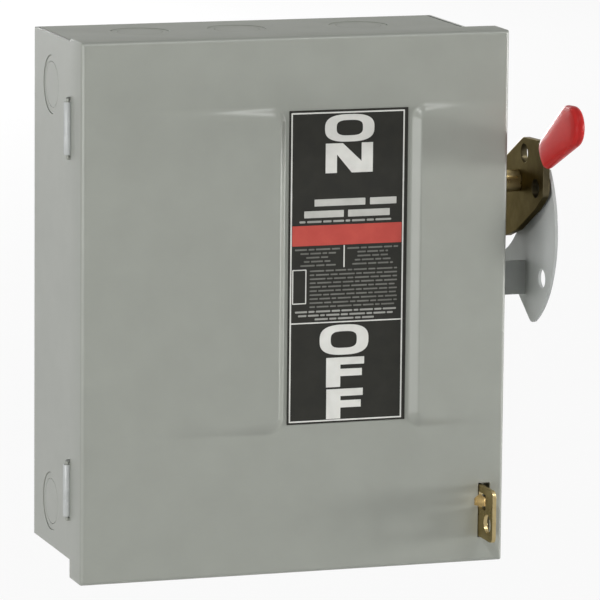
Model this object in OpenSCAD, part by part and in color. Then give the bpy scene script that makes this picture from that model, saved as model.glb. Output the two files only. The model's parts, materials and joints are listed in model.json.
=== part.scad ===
// Wall-mounted safety switch: hinged sheet-metal box, side lever, knife blades and fuses.
// Origin on the wall plane at the centre of the mounting holes, X right, Y to the wall, Z up.

/* [Back box] */
// Outside width of the back box
box_w = 206; // [196:1:230]
// Outside height of the back box
box_h = 253.5; // [245:0.5:280]
// Depth of the back box, from the wall to its front edges
box_d = 86.5; // [84:0.5:100]
// Sheet thickness of the back box
box_sheet = 1.4; // [1:0.1:2]
// Open seam left at the corners of the end panels
seam_gap = 0.8; // [0.4:0.1:1.2]
// Height of the welded flange on an end panel
weld_flange = 12; // [8:1:16]
// Radius of the wall screw holes
wall_hole_r = 3.5; // [2.5:0.25:4]
// Distance between wall screws across
wall_span_x = 150; // [140:1:160]
// Distance between wall screws up and down
wall_span_z = 200; // [190:1:210]

/* [Knockouts] */
// Diameter of the outer knockout ring
ring_d = 28.4; // [26:0.2:30]
// Diameter of the inner knockout disc
disc_d = 22.2; // [18:0.2:23]
// Sheared gap around a knockout
shear_gap = 0.2; // [0.1:0.05:0.5]
// How far a knockout is pushed inwards
knockout_dent = 0.3; // [0:0.1:0.6]
// Distance of the knockout row behind the front edges
knockout_back = 56; // [48:1:60]
// Upper side knockout below the box's top
side_knockout_top = 24.7; // [20:0.1:30]
// Lower side knockout above the box's bottom
side_knockout_bottom = 22.3; // [20:0.1:30]
// Left knockout of an end panel from the middle
end_knockout_left = 58.4; // [55:0.1:70]
// Middle knockout of an end panel left of the middle
end_knockout_mid = 8.8; // [0:0.1:15]
// Right knockout of an end panel from the middle
end_knockout_right = 54.1; // [40:0.1:70]

/* [Cover] */
// Sheet thickness of the cover
cover_sheet = 1.2; // [1:0.1:1.6]
// Gap between the box's front edges and the inside of the cover
cover_gap = 0.8; // [0.5:0.1:2]
// Gap between the left flange and the box's wall
side_gap = 0.3; // [0.3:0.1:0.8]
// How far the cover stands past the box on the right
over_right = 9.5; // [7:0.5:12]
// How far the cover stands past the box at the top
over_top = 2.3; // [1.8:0.1:4]
// How far the cover stands past the box at the bottom
over_bottom = 8.2; // [4:0.1:10]
// Depth of the cover's flanges
flange_depth = 19.4; // [17:0.2:20]
// Outside radius of the cover's bends
bend_r = 2.2; // [1.6:0.1:3]
// Width of the lip turned in along the cover's free edge, bend included
cover_lip = 7; // [4:0.5:8]
// Height of the raised panels
emboss_rise = 3.5; // [2:0.1:4]
// Height of the raised panels, top to bottom
emboss_h = 159.6; // [150:0.2:170]
// Top of the raised panels below the top of the cover
emboss_top = 34.4; // [30:0.2:40]
// Start of the left panel's slope from the cover's left edge
emboss_start = 23; // [15:1:40]
// Sloped end of a raised panel, top and bottom
emboss_end_run = 3.5; // [2:0.5:6]
// Sloped side of the left panel
emboss_left_run = 3; // [1.5:0.5:5]
// Sloped side of the right panel
emboss_right_run = 4; // [3:0.5:7]
// Flat margin at the right of the right panel
emboss_margin = 3; // [2.5:0.5:6]

/* [Label plate] */
// Width of the label plate
label_w = 60.7; // [50:0.1:64]
// Height of the label plate
label_h = 154; // [140:1:158]
// Thickness of the label plate
label_t = 0.4; // [0.2:0.1:1]
// Distance of the label from the cover's left edge
label_from_left = 104; // [100:1:110]
// Flat space left and right of the label
label_margin = 2; // [1:0.1:4]
// Top of the label below the top of the raised panels
label_drop = 1.6; // [0.5:0.1:3]

/* [Cover hinge] */
// Radius of the hinge staples' wire
staple_r = 0.95; // [0.8:0.05:1.2]
// Radial running clearance of the hinge
hinge_gap = 0.08; // [0.04:0.01:0.1]
// Wall of a rolled knuckle
knuckle_wall = 1.02; // [0.8:0.02:1.2]
// Length of a knuckle
knuckle_h = 25.5; // [20:0.5:30]
// Hinge axis behind the cover's front
hinge_back = 20.9; // [20.7:0.1:23]
// Middle of a knuckle from the cover's top and bottom edges
knuckle_end = 43.5; // [38:0.5:50]
// Space between a knuckle and the staple's legs
knuckle_play = 0.6; // [0.3:0.1:1]

/* [Hasp and catch] */
// Thickness of the hasp plate
hasp_t = 1.9; // [1.5:0.1:2.5]
// Height of the hasp plate
hasp_h = 26; // [24:0.5:30]
// Bottom of the hasp above the cover's bottom edge
hasp_up = 13; // [12:0.5:16]
// How far the hasp stands in front of the cover
hasp_out = 20; // [16:0.5:28]
// How far the hasp runs back along the box's wall
hasp_back = 30; // [24:1:40]
// Radius of the hasp's front corners
hasp_corner_r = 3.5; // [2:0.5:6]
// Radius of the hasp's padlock hole
hasp_hole_r = 4.75; // [3:0.25:5]
// Padlock hole in front of the cover
hasp_hole_out = 12.5; // [10:0.5:16]
// Padlock hole above the bottom of the hasp
hasp_hole_up = 8.5; // [7:0.5:11]
// Width of the slot in the cover
slot_w = 6.2; // [6:0.1:8]
// Space between the slot and the hasp above, below and beside it
slot_gap = 0.7; // [0.5:0.1:1.5]
// Length of the spring catch
catch_len = 8.6; // [7:0.2:10]
// Height of the spring catch
catch_h = 7; // [5:0.5:8]
// Thickness of the spring catch
catch_t = 0.9; // [0.6:0.1:1.2]
// Angle at which the catch stands out of the hasp
catch_angle = 22; // [16:1:26]
// Top of the catch below the top of the hasp
catch_drop = 4; // [3:0.5:6]
// Clearance around the catch
catch_gap = 0.4; // [0.3:0.05:0.6]

/* [Handle] */
// Shaft behind the front of the cover
shaft_back = 31.6; // [31:0.2:33]
// Shaft above the middle of the box
shaft_up = 50; // [45:1:52]
// Radius of the operating shaft
shaft_r = 4.5; // [4:0.1:5]
// Radial running clearance of the shaft
shaft_gap = 0.06; // [0.03:0.01:0.1]
// Gap between the box's wall and the lever
lever_out = 26.7; // [24:0.1:30]
// Thickness of the lever
lever_t = 3.4; // [2.5:0.1:4]
// Corner radius of the lever's outline
lever_corner_r = 4; // [2:0.5:5]
// Radius of the two holes in the lever
lever_hole_r = 4.75; // [3:0.25:5]
// Length of the lever from the shaft to the end of its tongue
lever_reach = 72; // [64:1:78]
// Width of the lever's tongue
tongue_w = 11; // [8:0.5:12]
// Angle of the grip above the horizontal
grip_angle = 28; // [20:0.5:32]
// Thickness of the red dipped grip
grip_t = 5.4; // [4.8:0.1:5.8]
// Radius of the grip's round end
grip_end_r = 10.8; // [10:0.2:14]
// Radius of the grip's neck
grip_neck_r = 8.4; // [7:0.1:9]
// Centre of the grip's round end from the shaft
grip_end_at = 77.5; // [72:0.5:84]
// Centre of the grip's neck from the shaft
grip_neck_at = 41; // [38:0.5:46]
// Where the grip's dipped edge crosses the lever
grip_start_at = 37; // [34:0.5:40]
// Slant of the dipped edge against the grip
grip_start_slant = 11; // [0:1:20]
// Thickness of the shaft's riveted head
rivet_head_t = 1.2; // [0.8:0.1:1.3]
// Radius of the shaft's shoulder between the box and the lever
shoulder_r = 5.5; // [5:0.1:6]
// Radius of the shaft's riveted head
rivet_head_r = 6.5; // [5.5:0.1:8]

/* [Padlock bracket] */
// Sheet thickness of the padlock bracket
bracket_t = 1.6; // [1.2:0.1:2]
// Gap between the lever's far side and the bracket
bracket_gap = 1.6; // [1.5:0.1:3]
// Radius of the bracket's outer edge
bracket_arc_r = 52.5; // [48:0.5:56]
// Radius of the bracket's padlock hole
bracket_hole_r = 4.75; // [4:0.25:5]
// Distance of the bracket's leg behind the shaft
bracket_leg_back = 0.5; // [0:0.1:6]
// Top of the bracket's leg below the shaft
bracket_leg_drop = 40.5; // [40:0.5:44]
// Height of the bracket's leg
bracket_leg_h = 17; // [14:0.5:20]
// Length of the bracket's foot on the wall
bracket_foot = 18; // [14:1:20]

/* [Mechanism] */
// Radius of the crank, also the distance from the shaft to the blades' pivots
crank_r = 20; // [18:0.5:21]
// Radius of the crank pin
crank_pin_r = 3; // [2.5:0.1:3.5]
// Thickness of the crank
crank_t = 4; // [3:0.5:5]
// Thickness of the drive fork
fork_t = 3; // [2:0.5:4]
// Width of the drive fork
fork_w = 14; // [12:0.5:16]
// Clearance of the crank pin in the fork
fork_gap = 0.2; // [0.1:0.05:0.4]
// Gap between the crank and the fork
crank_gap = 2; // [1:0.5:3]
// Sheet thickness of the mechanism bracket
frame_t = 2; // [1.5:0.1:3]
// Width of the mechanism bracket
frame_w = 32; // [26:1:36]
// Width of the mechanism bracket's foot
frame_foot = 14; // [12:1:16]
// Distance of the foot's screws from its ends
frame_screw_inset = 6; // [5:0.5:8]
// Distance of the mechanism bracket from the right wall
frame_from_wall = 17.6; // [16:0.2:20]
// Space between the mechanism bracket and the crank
frame_gap = 5; // [3:0.5:6]
// Mean radius of the quick-break spring
spring_r = 8; // [7:0.5:9]
// Radius of the spring's wire
spring_wire_r = 0.8; // [0.6:0.1:1]
// Turns of the spring
spring_turns = 5; // [4:1:6]
// Thickness of the shaft collar
collar_t = 2; // [1.5:0.1:2.5]
// Radius of the shaft collar
collar_r = 9.5; // [9:0.5:11]

/* [Switch base] */
// Thickness of the base plate
base_t = 12; // [10:0.5:14]
// Height of the base's feet
base_foot = 3; // [2:0.5:5]
// Spacing of the poles
pole_pitch = 35; // [33:0.5:37]
// Base past the outer poles
base_side = 21; // [19:0.5:22]
// Space between the base and the fork
base_to_fork = 8; // [6:0.5:10]
// Bottom of the base below the shaft
base_below = 116; // [114:1:120]
// Top of the base above the shaft
base_above = 52; // [50:0.5:56]
// Width of the pedestals under the contacts
pedestal_w = 16; // [14:0.5:18]
// Thickness of the phase barriers
barrier_t = 2; // [1.5:0.1:3]

/* [Contacts] */
// Thickness of the contact blades
blade_t = 2.4; // [2:0.1:3]
// Width of the contact blades
blade_w = 12; // [10:0.5:13]
// Length of the blades from their pivots
blade_len = 42; // [40:0.5:43]
// Radius of the blades' pivot pins
pivot_r = 2.5; // [2:0.1:3]
// Side clearance of a blade in its clips
blade_gap = 0.1; // [0.05:0.05:0.2]
// Thickness of the copper clips
clip_t = 1.2; // [1:0.1:1.6]
// Depth of the clips in front of the pedestals
clip_depth = 16; // [15:0.5:17]
// Size of the insulating crossbar
crossbar_s = 12; // [10:0.5:13]
// Crossbar above the blades' pivots
crossbar_up = 22; // [20:0.5:24]
// Depth of the blades' slots in the crossbar
crossbar_slot = 3; // [2:0.5:4]
// Width of a wire lug
lug_w = 14; // [12:0.5:15]
// Height of a wire lug
lug_h = 16; // [14:0.5:18]
// Radius of a lug's wire hole
lug_hole_r = 3.5; // [3:0.25:4]
// Radius of a lug's screw
lug_screw_r = 3; // [2.5:0.1:3.5]

/* [Fuses] */
// Length of a cartridge fuse
fuse_len = 50.8; // [48:0.2:52]
// Radius of a fuse's ferrules
ferrule_r = 7.1; // [6.5:0.1:7.5]
// Length of a ferrule
ferrule_len = 12.7; // [10:0.1:14]
// Radius of a fuse's tube
fuse_tube_r = 6.7; // [6:0.1:6.9]
// Width of a fuse clip
fuse_clip_w = 10; // [8:0.5:11]
// Upper fuse end below the blades' pivots
fuse_drop = 14; // [13:0.5:16]

/* [Neutral and ground] */
// Width of the neutral insulator
neutral_w = 24; // [20:0.5:26]
// Height of the neutral insulator
neutral_h = 84; // [70:1:90]
// Thickness of the neutral insulator
neutral_t = 12; // [10:0.5:16]
// Distance of the neutral from the left wall
neutral_from_wall = 5; // [4:0.5:14]
// Width of a terminal bar
bar_w = 11; // [9:0.5:12]
// Thickness of a terminal bar
bar_t = 9; // [8:0.5:10]
// Spacing of the screws in a terminal bar
bar_pitch = 13; // [12:0.5:14]
// Ground bar above the bottom of the box
ground_up = 26; // [22:1:32]

/* [Hidden] */
$fn = 48;

// Fit between fixed pieces, and a little extra length for cuts
fit = 0.05;
cut = 1;
paint = [0.60, 0.61, 0.58];
plated = [0.62, 0.58, 0.34];
steel = [0.70, 0.71, 0.72];
copper = [0.78, 0.48, 0.30];
tin = [0.78, 0.79, 0.80];
black = [0.12, 0.12, 0.12];

// Faces of the box and the cover
right_out = box_w / 2;
left_out = -box_w / 2;
right_in = right_out - box_sheet;
left_in = left_out + box_sheet;
top_out = box_h / 2;
bottom_out = -box_h / 2;
back_in = -box_sheet;
front_edge = -box_d;
cover_in = front_edge - cover_gap;
cover_front = cover_in - cover_sheet;
cover_left = left_out - side_gap - cover_sheet;
cover_right = right_out + over_right;
cover_top = top_out + over_top;
cover_bottom = bottom_out - over_bottom;
cover_rear = cover_front + flange_depth;
bend_in_r = bend_r - cover_sheet;

// Raised panels and label
emboss_z1 = cover_top - emboss_top;
emboss_z0 = emboss_z1 - emboss_h;
label_x0 = cover_left + label_from_left;
label_x1 = label_x0 + label_w;
label_z1 = emboss_z1 - label_drop;
label_z0 = label_z1 - label_h;

// Cover hinge
knuckle_r = staple_r + hinge_gap + knuckle_wall;
hinge_x = cover_left + cover_sheet - knuckle_r;
hinge_y = cover_front + hinge_back;
knuckle_zs = [cover_top - knuckle_end, cover_bottom + knuckle_end];
staple_leg = knuckle_h / 2 + knuckle_play + staple_r;

// Hasp and catch
hasp_x1 = right_in;
hasp_x0 = hasp_x1 - hasp_t;
hasp_z0 = cover_bottom + hasp_up;
hasp_z1 = hasp_z0 + hasp_h;
hasp_tip = cover_front - hasp_out;
hasp_rear = cover_front + hasp_back;
hasp_hole_y = cover_front - hasp_hole_out;
hasp_hole_z = hasp_z0 + hasp_hole_up;
catch_z1 = hasp_z1 - catch_drop;
catch_z0 = catch_z1 - catch_h;
catch_x = (hasp_x0 + hasp_x1) / 2;
catch_y = cover_front - catch_gap - catch_len;
catch_tip_x = catch_x - catch_len * sin(catch_angle) - catch_t / 2 * cos(catch_angle);

// Handle, with outlines given as forward and up from the shaft
shaft_y = cover_front + shaft_back;
shaft_z = shaft_up;
lever_x = right_out + lever_out;
lever_far = lever_x + lever_t;
lever_outline = [
  [-20, 4], [-10.4, 8.5], [7.6, 18.6], [27, 19.5], [31, 12.5],
  [30.8, -1.4], [22.5, -7.6], [-2.6, -21.4], [-17.6, -26.4]
];
lever_holes = [[8.4, 14.8], [24.4, -0.6]];
grip_x = lever_x + lever_t / 2 - grip_t / 2;

// Padlock bracket, with its outline in the same terms
bracket_x = lever_far + bracket_gap;
bracket_arc_c = [-13, -23.3];
bracket_arc_angles = [38, -61.3];
bracket_tip = [9.3, -64];
bracket_tip_r = 6;
bracket_tip_angles = [-65, -124];
bracket_waist = [-10, -58.7];
bracket_hollow_c = [-49, 5];
bracket_hollow_r = 48.5;
bracket_hollow_angles = [-66, 5];
bracket_hole = [22.2, -46.1];
bracket_tail_top = [-30, -41];
bracket_tail_bottom = [-30, -62.5];
bracket_leg_z1 = shaft_z - bracket_leg_drop;
bracket_leg_z0 = bracket_leg_z1 - bracket_leg_h;

// Mechanism, set out from the right wall
frame_x = right_in - frame_from_wall;
crank_x = frame_x - frame_gap - crank_t;
fork_x = crank_x - crank_gap - fork_t;
bush_flange_t = 2;
bush_r = 7;
collar_x = right_in - bush_flange_t - collar_t - fit;
throw = 102;
pivot_angle = 45;
pivot_y = shaft_y + crank_r * cos(pivot_angle);
pivot_z = shaft_z - crank_r * sin(pivot_angle);
crank_angle = pivot_angle + throw / 2;
fork_angle = (crank_angle + pivot_angle) / 2;
fork_tip = 2 * crank_r + 2.5;
fork_root = 2 * crank_r * cos(throw / 4) - crank_pin_r - 3 * fork_gap;

// Switch base
base_x1 = fork_x - base_to_fork;
base_x0 = base_x1 - 2 * pole_pitch - 2 * base_side;
poles = [for (i = [0 : 2]) base_x0 + base_side + i * pole_pitch];
base_back = back_in - base_foot;
base_face = base_back - base_t;
base_z0 = shaft_z - base_below;
base_z1 = shaft_z + base_above;
base_hole_side = 6;
base_hole_end = 7;
base_hole_z = [base_z0 + base_hole_end, base_z1 - base_hole_end];
base_hole_x = [base_x0 + base_hole_side, base_x1 - base_hole_side];
base_screw_r = 2.2;
screw_head_r = 1.8 * base_screw_r;
screw_head_t = base_screw_r;
neutral_mount_inset = 5;
pedestal_back = 10.5;
pedestal_y = pivot_y + pedestal_back;
clip_front = pedestal_y - clip_depth;
clip_in = blade_t / 2 + blade_gap;
clip_out = clip_in + clip_t;
jaw_hold = 13;
jaw_inset = 1;
lug_inset = 1;
blade_clip_half = 7;
jaw_z0 = pivot_z + blade_len - jaw_hold;
jaw_z1 = pivot_z + blade_len - jaw_inset;
line_lug_z = base_z1 - lug_inset - lug_h;
blade_clip_z0 = pivot_z - blade_clip_half;
blade_clip_z1 = pivot_z + blade_clip_half;
crossbar_y = pivot_y - blade_w / 2 + crossbar_slot - crossbar_s / 2;
crossbar_z = pivot_z + crossbar_up;
crossbar_over = 8;
crossbar_x0 = poles[0] - crossbar_over;

// Fuses, loads, neutral and ground
fuse_top = pivot_z - fuse_drop;
fuse_bottom = fuse_top - fuse_len;
fuse_clip_r = ferrule_r + clip_t + fit;
fuse_y = base_face - clip_t - fuse_clip_r;
fuse_clip_zs = [fuse_top - ferrule_len / 2, fuse_bottom + ferrule_len / 2];
load_lug_up = 2;
load_lug_z = base_z0 + load_lug_up;
neutral_x = left_in + neutral_from_wall + neutral_w / 2;
neutral_face = back_in - neutral_t;
neutral_mount_half = neutral_h / 2 - neutral_mount_inset;
neutral_mount_zs = [-neutral_mount_half, neutral_mount_half];
ground_z = bottom_out + ground_up;
bar_screw_r = 2.4;
ground_x = -10;

// A flat shape in X and Z, drawn from y towards the front
module facing_front(y, t) {
  translate([0, y, 0])
    rotate([90, 0, 0])
      linear_extrude(t)
        children();
}

// A flat shape in Y and Z, drawn from x to the right
module facing_side(x, t) {
  translate([x, 0, 0])
    rotate([90, 0, 90])
      linear_extrude(t)
        children();
}

// A flat shape given forward and up from the shaft, drawn from x to the right
module on_shaft(x, t) {
  translate([x, shaft_y, shaft_z])
    rotate([90, 0, 90])
      linear_extrude(t)
        mirror([1, 0])
          children();
}

// Round bar along X, Y towards the front, or Z
module bar_x(x, y, z, r, len) {
  translate([x, y, z])
    rotate([0, 90, 0])
      cylinder(r = r, h = len);
}

module bar_front(x, y, z, r, len) {
  translate([x, y, z])
    rotate([90, 0, 0])
      cylinder(r = r, h = len);
}

module bar_z(x, y, z, r, len) {
  translate([x, y, z])
    cylinder(r = r, h = len);
}

// Block between two corners
module block(a, b) {
  translate(a)
    cube(b - a);
}

// Points along an arc
function arc(c, r, a0, a1, n) =
  [for (i = [0 : n]) c + r * [cos(a0 + (a1 - a0) * i / n), sin(a0 + (a1 - a0) * i / n)]];

// Knockout places: on the left wall as [y, z], on an end panel as [x, y]
knockout_y = front_edge + knockout_back;
side_knockouts = [
  [knockout_y, top_out - side_knockout_top],
  [knockout_y, bottom_out + side_knockout_bottom]
];
end_knockouts = [
  for (x = [-end_knockout_left, -end_knockout_mid, end_knockout_right]) [x, knockout_y]
];

// Slotted screw head and shank, screwed in from the front
module front_screw(x, y, z, r, len, head_r, head_t) {
  difference() {
    union() {
      bar_front(x, y, z, head_r, head_t);
      bar_front(x, y + len, z, r, len);
    }
    block([x - head_r - cut, y - head_t - cut, z - head_r / 6],
          [x + head_r + cut, y - head_t / 2, z + head_r / 6]);
  }
}

// Back, left and right walls bent from one strip
module back_box() {
  color(paint)
    difference() {
      union() {
        block([left_out, back_in, bottom_out], [right_out, 0, top_out]);
        block([left_out, front_edge, bottom_out], [left_in, 0, top_out]);
        block([right_in, front_edge, bottom_out], [right_out, 0, top_out]);
      }
      for (x = [-1, 1], z = [-1, 1])
        bar_front(x * wall_span_x / 2, cut, z * wall_span_z / 2, wall_hole_r, box_sheet + 2 * cut);
      for (k = side_knockouts)
        bar_x(left_out - cut, k[0], k[1], ring_d / 2 + shear_gap, box_sheet + 2 * cut);
      for (z = knuckle_zs, s = [-1, 1])
        bar_x(left_out - cut, hinge_y, z + s * staple_leg, staple_r + fit, box_sheet + 2 * cut);
      bar_x(right_in - cut, shaft_y, shaft_z, bush_r + fit, box_sheet + 2 * cut);
      for (p = hasp_rivet_places)
        bar_x(right_in - cut, p[0], p[1], rivet_r + fit, box_sheet + 2 * cut);
      for (p = bracket_rivet_places)
        bar_x(right_in - cut, p[0], p[1], rivet_r + fit, box_sheet + 2 * cut);
      for (x = base_hole_x, z = base_hole_z)
        bar_front(x, cut, z, base_screw_r + fit, box_sheet + 2 * cut);
      for (z = frame_screw_zs)
        bar_front(frame_screw_x, cut, z, base_screw_r + fit, box_sheet + 2 * cut);
      for (z = neutral_mount_zs)
        bar_front(neutral_x, cut, z, base_screw_r + fit, box_sheet + 2 * cut);
    }
}

// End panel with a flange welded to the back wall
module end_panel() {
  x0 = left_in + seam_gap;
  x1 = right_in - seam_gap;
  z = top_out - box_sheet;
  difference() {
    union() {
      block([x0, front_edge, z], [x1, back_in, top_out]);
      block([x0, back_in - box_sheet, top_out - weld_flange], [x1, back_in, top_out]);
    }
    for (k = end_knockouts)
      bar_z(k[0], k[1], z - cut, ring_d / 2 + shear_gap, box_sheet + 2 * cut);
  }
}

module top_end_panel() {
  color(paint)
    end_panel();
}

module bottom_end_panel() {
  color(paint)
    mirror([0, 0, 1])
      end_panel();
}

// One knockout piece between two radii, pushed inwards along -Z from z
module knockout_piece(r_in, r_out) {
  translate([0, 0, -knockout_dent - box_sheet])
    difference() {
      cylinder(r = r_out, h = box_sheet);
      if (r_in > 0)
        translate([0, 0, -cut])
          cylinder(r = r_in, h = box_sheet + 2 * cut);
    }
}

// The same knockout piece at every knockout of the box
module at_knockouts() {
  for (s = [0, 1], k = end_knockouts)
    mirror([0, 0, s])
      translate([k[0], k[1], top_out])
        children();
  for (k = side_knockouts)
    translate([left_out, k[0], k[1]])
      rotate([0, -90, 0])
        children();
}

module knockout_discs() {
  color(paint)
    at_knockouts()
      knockout_piece(0, disc_d / 2);
}

module knockout_rings() {
  color(paint)
    at_knockouts()
      knockout_piece(disc_d / 2 + shear_gap, ring_d / 2);
}

// Bent wire that carries a cover knuckle, its legs welded through the wall
module hinge_staples() {
  leg_len = left_in + cut - hinge_x;
  color(paint)
    for (z = knuckle_zs) {
      bar_z(hinge_x, hinge_y, z - staple_leg, staple_r, 2 * staple_leg);
      for (s = [-1, 1]) {
        bar_x(hinge_x, hinge_y, z + s * staple_leg, staple_r, leg_len);
        translate([hinge_x, hinge_y, z + s * staple_leg])
          sphere(r = staple_r);
      }
    }
}

// Rounded section of the cover in X and Y, or in Y and Z, moved inwards by d
module cover_section(lo, hi, d, r) {
  y0 = cover_front + d;
  translate([lo + d, y0 + r])
    square([hi - lo - 2 * d, flange_depth + cut - r]);
  translate([lo + d + r, y0])
    square([hi - lo - 2 * d - 2 * r, flange_depth]);
  for (x = [lo + d + r, hi - d - r])
    translate([x, y0 + r])
      circle(r = r);
}

module cover_body(d, r) {
  intersection() {
    translate([0, 0, cover_bottom + d])
      linear_extrude(cover_top - cover_bottom - 2 * d)
        cover_section(cover_left, cover_right, d, r);
    translate([cover_left + d, 0, 0])
      rotate([90, 0, 90])
        linear_extrude(cover_right - cover_left - 2 * d)
          rotate(90)
            mirror([0, 1])
              cover_section(cover_bottom, cover_top, d, r);
  }
}

// Raised panel: a slope from the outer edge to a ridge, then a short steep side
module raised_panel(x_edge, x_ridge, x_foot) {
  y0 = cover_front + cover_sheet / 2;
  y1 = cover_front - emboss_rise;
  points = [
    [x_edge, cover_front, emboss_z0], [x_foot, cover_front, emboss_z0],
    [x_foot, cover_front, emboss_z1], [x_edge, cover_front, emboss_z1],
    [x_ridge, y1, emboss_z0 + emboss_end_run], [x_ridge, y1, emboss_z1 - emboss_end_run],
    [x_edge, y0, emboss_z0], [x_foot, y0, emboss_z0],
    [x_foot, y0, emboss_z1], [x_edge, y0, emboss_z1]
  ];
  faces = [
    [0, 4, 5, 3], [1, 2, 5, 4], [0, 1, 4], [3, 5, 2],
    [6, 9, 8, 7], [0, 6, 7, 1], [1, 7, 8, 2], [2, 8, 9, 3], [3, 9, 6, 0]
  ];
  flip = x_edge < x_foot;
  polyhedron(points, flip ? [for (f = faces) [for (i = [len(f) - 1 : -1 : 0]) f[i]]] : faces);
}

module raised_panels() {
  foot_l = label_x0 - label_margin;
  foot_r = label_x1 + label_margin;
  raised_panel(cover_left + emboss_start, foot_l - emboss_left_run, foot_l);
  raised_panel(cover_right - emboss_margin, foot_r + emboss_right_run, foot_r);
}

// Hinged front cover with flanges, a lip, raised panels, rolled knuckles and the hasp's slot
module cover() {
  slot_x0 = hasp_x0 - slot_gap;
  notch_x0 = catch_tip_x - catch_gap;
  color(paint)
    difference() {
      union() {
        difference() {
          union() {
            cover_body(0, bend_r);
            raised_panels();
          }
          cover_body(cover_sheet, bend_in_r);
          translate([0, cover_sheet, 0])
            raised_panels();
          block([cover_left - cut, cover_rear, cover_bottom - cut],
                [cover_right + cut, cover_rear + flange_depth, cover_top + cut]);
        }
        block([cover_right - cover_lip, cover_rear - cover_sheet, cover_bottom + bend_r],
              [cover_right, cover_rear, cover_top - bend_r]);
        for (z = knuckle_zs) {
          bar_z(hinge_x, hinge_y, z - knuckle_h / 2, knuckle_r, knuckle_h);
          block([cover_left, cover_rear - cut, z - knuckle_h / 2],
                [cover_left + cover_sheet, hinge_y, z + knuckle_h / 2]);
        }
      }
      for (z = knuckle_zs)
        bar_z(hinge_x, hinge_y, z - knuckle_h, staple_r + hinge_gap, 2 * knuckle_h);
      block([slot_x0, cover_front - emboss_rise - cut, hasp_z0 - slot_gap],
            [slot_x0 + slot_w, cover_in + cut, hasp_z1 + slot_gap]);
      block([notch_x0, cover_front - cut, catch_z0 - slot_gap],
            [slot_x0 + cut, cover_in + cut, catch_z1 + slot_gap]);
    }
}

module label_plate() {
  color(black)
    block([label_x0, cover_front - label_t, label_z0], [label_x1, cover_front, label_z1]);
}

// Hasp plate on the inside of the right wall, standing out through the cover
rivet_r = 2;
hasp_rivet_places = [
  for (s = [0.25, 0.75]) [hasp_rear - 6, hasp_z0 + s * hasp_h]
];
module hasp() {
  window_y1 = cover_front - catch_gap / 2;
  color(plated)
    difference() {
      facing_side(hasp_x0, hasp_t) {
        translate([hasp_tip + hasp_corner_r, hasp_z0])
          square([hasp_rear - hasp_tip - hasp_corner_r, hasp_h]);
        translate([hasp_tip, hasp_z0 + hasp_corner_r])
          square([hasp_corner_r + cut, hasp_h - 2 * hasp_corner_r]);
        for (z = [hasp_z0 + hasp_corner_r, hasp_z1 - hasp_corner_r])
          translate([hasp_tip + hasp_corner_r, z])
            circle(r = hasp_corner_r);
      }
      bar_x(hasp_x0 - cut, hasp_hole_y, hasp_hole_z, hasp_hole_r, hasp_t + 2 * cut);
      block([hasp_x0 - cut, catch_y - catch_t, catch_z0 - catch_gap],
            [hasp_x1 + cut, window_y1, catch_z1 + catch_gap]);
      for (p = hasp_rivet_places)
        bar_x(hasp_x0 - cut, p[0], p[1], rivet_r + fit, hasp_t + 2 * cut);
    }
}

// Rivet along X through a stack that ends at the wall's outside
module wall_rivet(p, x0, x1) {
  head_t = 1.2;
  bar_x(x0, p[0], p[1], rivet_r, x1 - x0);
  bar_x(x0 - head_t, p[0], p[1], 2 * rivet_r, head_t);
  bar_x(x1, p[0], p[1], 2 * rivet_r, head_t);
}

module hasp_rivets() {
  color(plated)
    for (p = hasp_rivet_places)
      wall_rivet(p, hasp_x0, right_out);
}

// Tongue that springs out of the hasp in front of the cover
module spring_catch() {
  color(plated)
    translate([catch_x, catch_y, catch_z0]) {
      cylinder(r = catch_t / 2, h = catch_h);
      rotate([0, 0, catch_angle])
        translate([-catch_t / 2, 0, 0])
          cube([catch_t, catch_len, catch_h]);
    }
}

// Round-ended strip along the grip's angle, from the shaft outwards
module tongue_shape(grow) {
  rotate(grip_angle)
    translate([0, -tongue_w / 2 - grow]) {
      square([lever_reach - tongue_w / 2, tongue_w + 2 * grow]);
      translate([lever_reach - tongue_w / 2, tongue_w / 2 + grow])
        circle(r = tongue_w / 2 + grow);
    }
}

// Plated lever on the end of the shaft, with its tongue inside the grip
module lever() {
  color(plated)
    difference() {
      union() {
        on_shaft(lever_x, lever_t)
          hull()
            for (p = lever_outline)
              translate(p)
                circle(r = lever_corner_r, $fn = 32);
        on_shaft(lever_x, lever_t)
          tongue_shape(0);
      }
      bar_x(lever_x - cut, shaft_y, shaft_z, shaft_r + fit, lever_t + 2 * cut);
      for (p = lever_holes)
        bar_x(lever_x - cut, shaft_y - p[0], shaft_z + p[1], lever_hole_r, lever_t + 2 * cut);
    }
}

// Disc with a fully rounded rim, lying in X around a point of the grip's axis
module grip_disc(at, r) {
  translate([at, 0, 0])
    rotate_extrude($fn = 32) {
      square([r - grip_t / 2, grip_t]);
      translate([r - grip_t / 2, grip_t / 2])
        intersection() {
          circle(r = grip_t / 2, $fn = 24);
          translate([0, -grip_t])
            square(2 * grip_t);
        }
    }
}

// Everything of the lever that the dip covers starts past a slanted edge
module grip_cutter() {
  rotate(grip_angle)
    translate([grip_start_at, 0])
      rotate(grip_start_slant)
        translate([-2 * lever_reach, -lever_reach])
          square([2 * lever_reach, 2 * lever_reach]);
}

// Red dipped grip around the lever's tongue
module grip() {
  color([0.75, 0.16, 0.15])
    difference() {
      translate([grip_x, shaft_y, shaft_z])
        rotate([90, 0, 90])
          mirror([1, 0, 0])
            rotate([0, 0, grip_angle])
              hull() {
                grip_disc(grip_neck_at, grip_neck_r);
                grip_disc(grip_end_at, grip_end_r);
              }
      on_shaft(lever_x - fit, lever_t + 2 * fit)
        tongue_shape(fit);
      on_shaft(grip_x - cut, grip_t + 2 * cut)
        grip_cutter();
      on_shaft(lever_x - fit, lever_t + 2 * fit)
        hull()
          for (p = lever_outline)
            translate(p)
              circle(r = lever_corner_r + fit, $fn = 32);
    }
}

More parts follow.
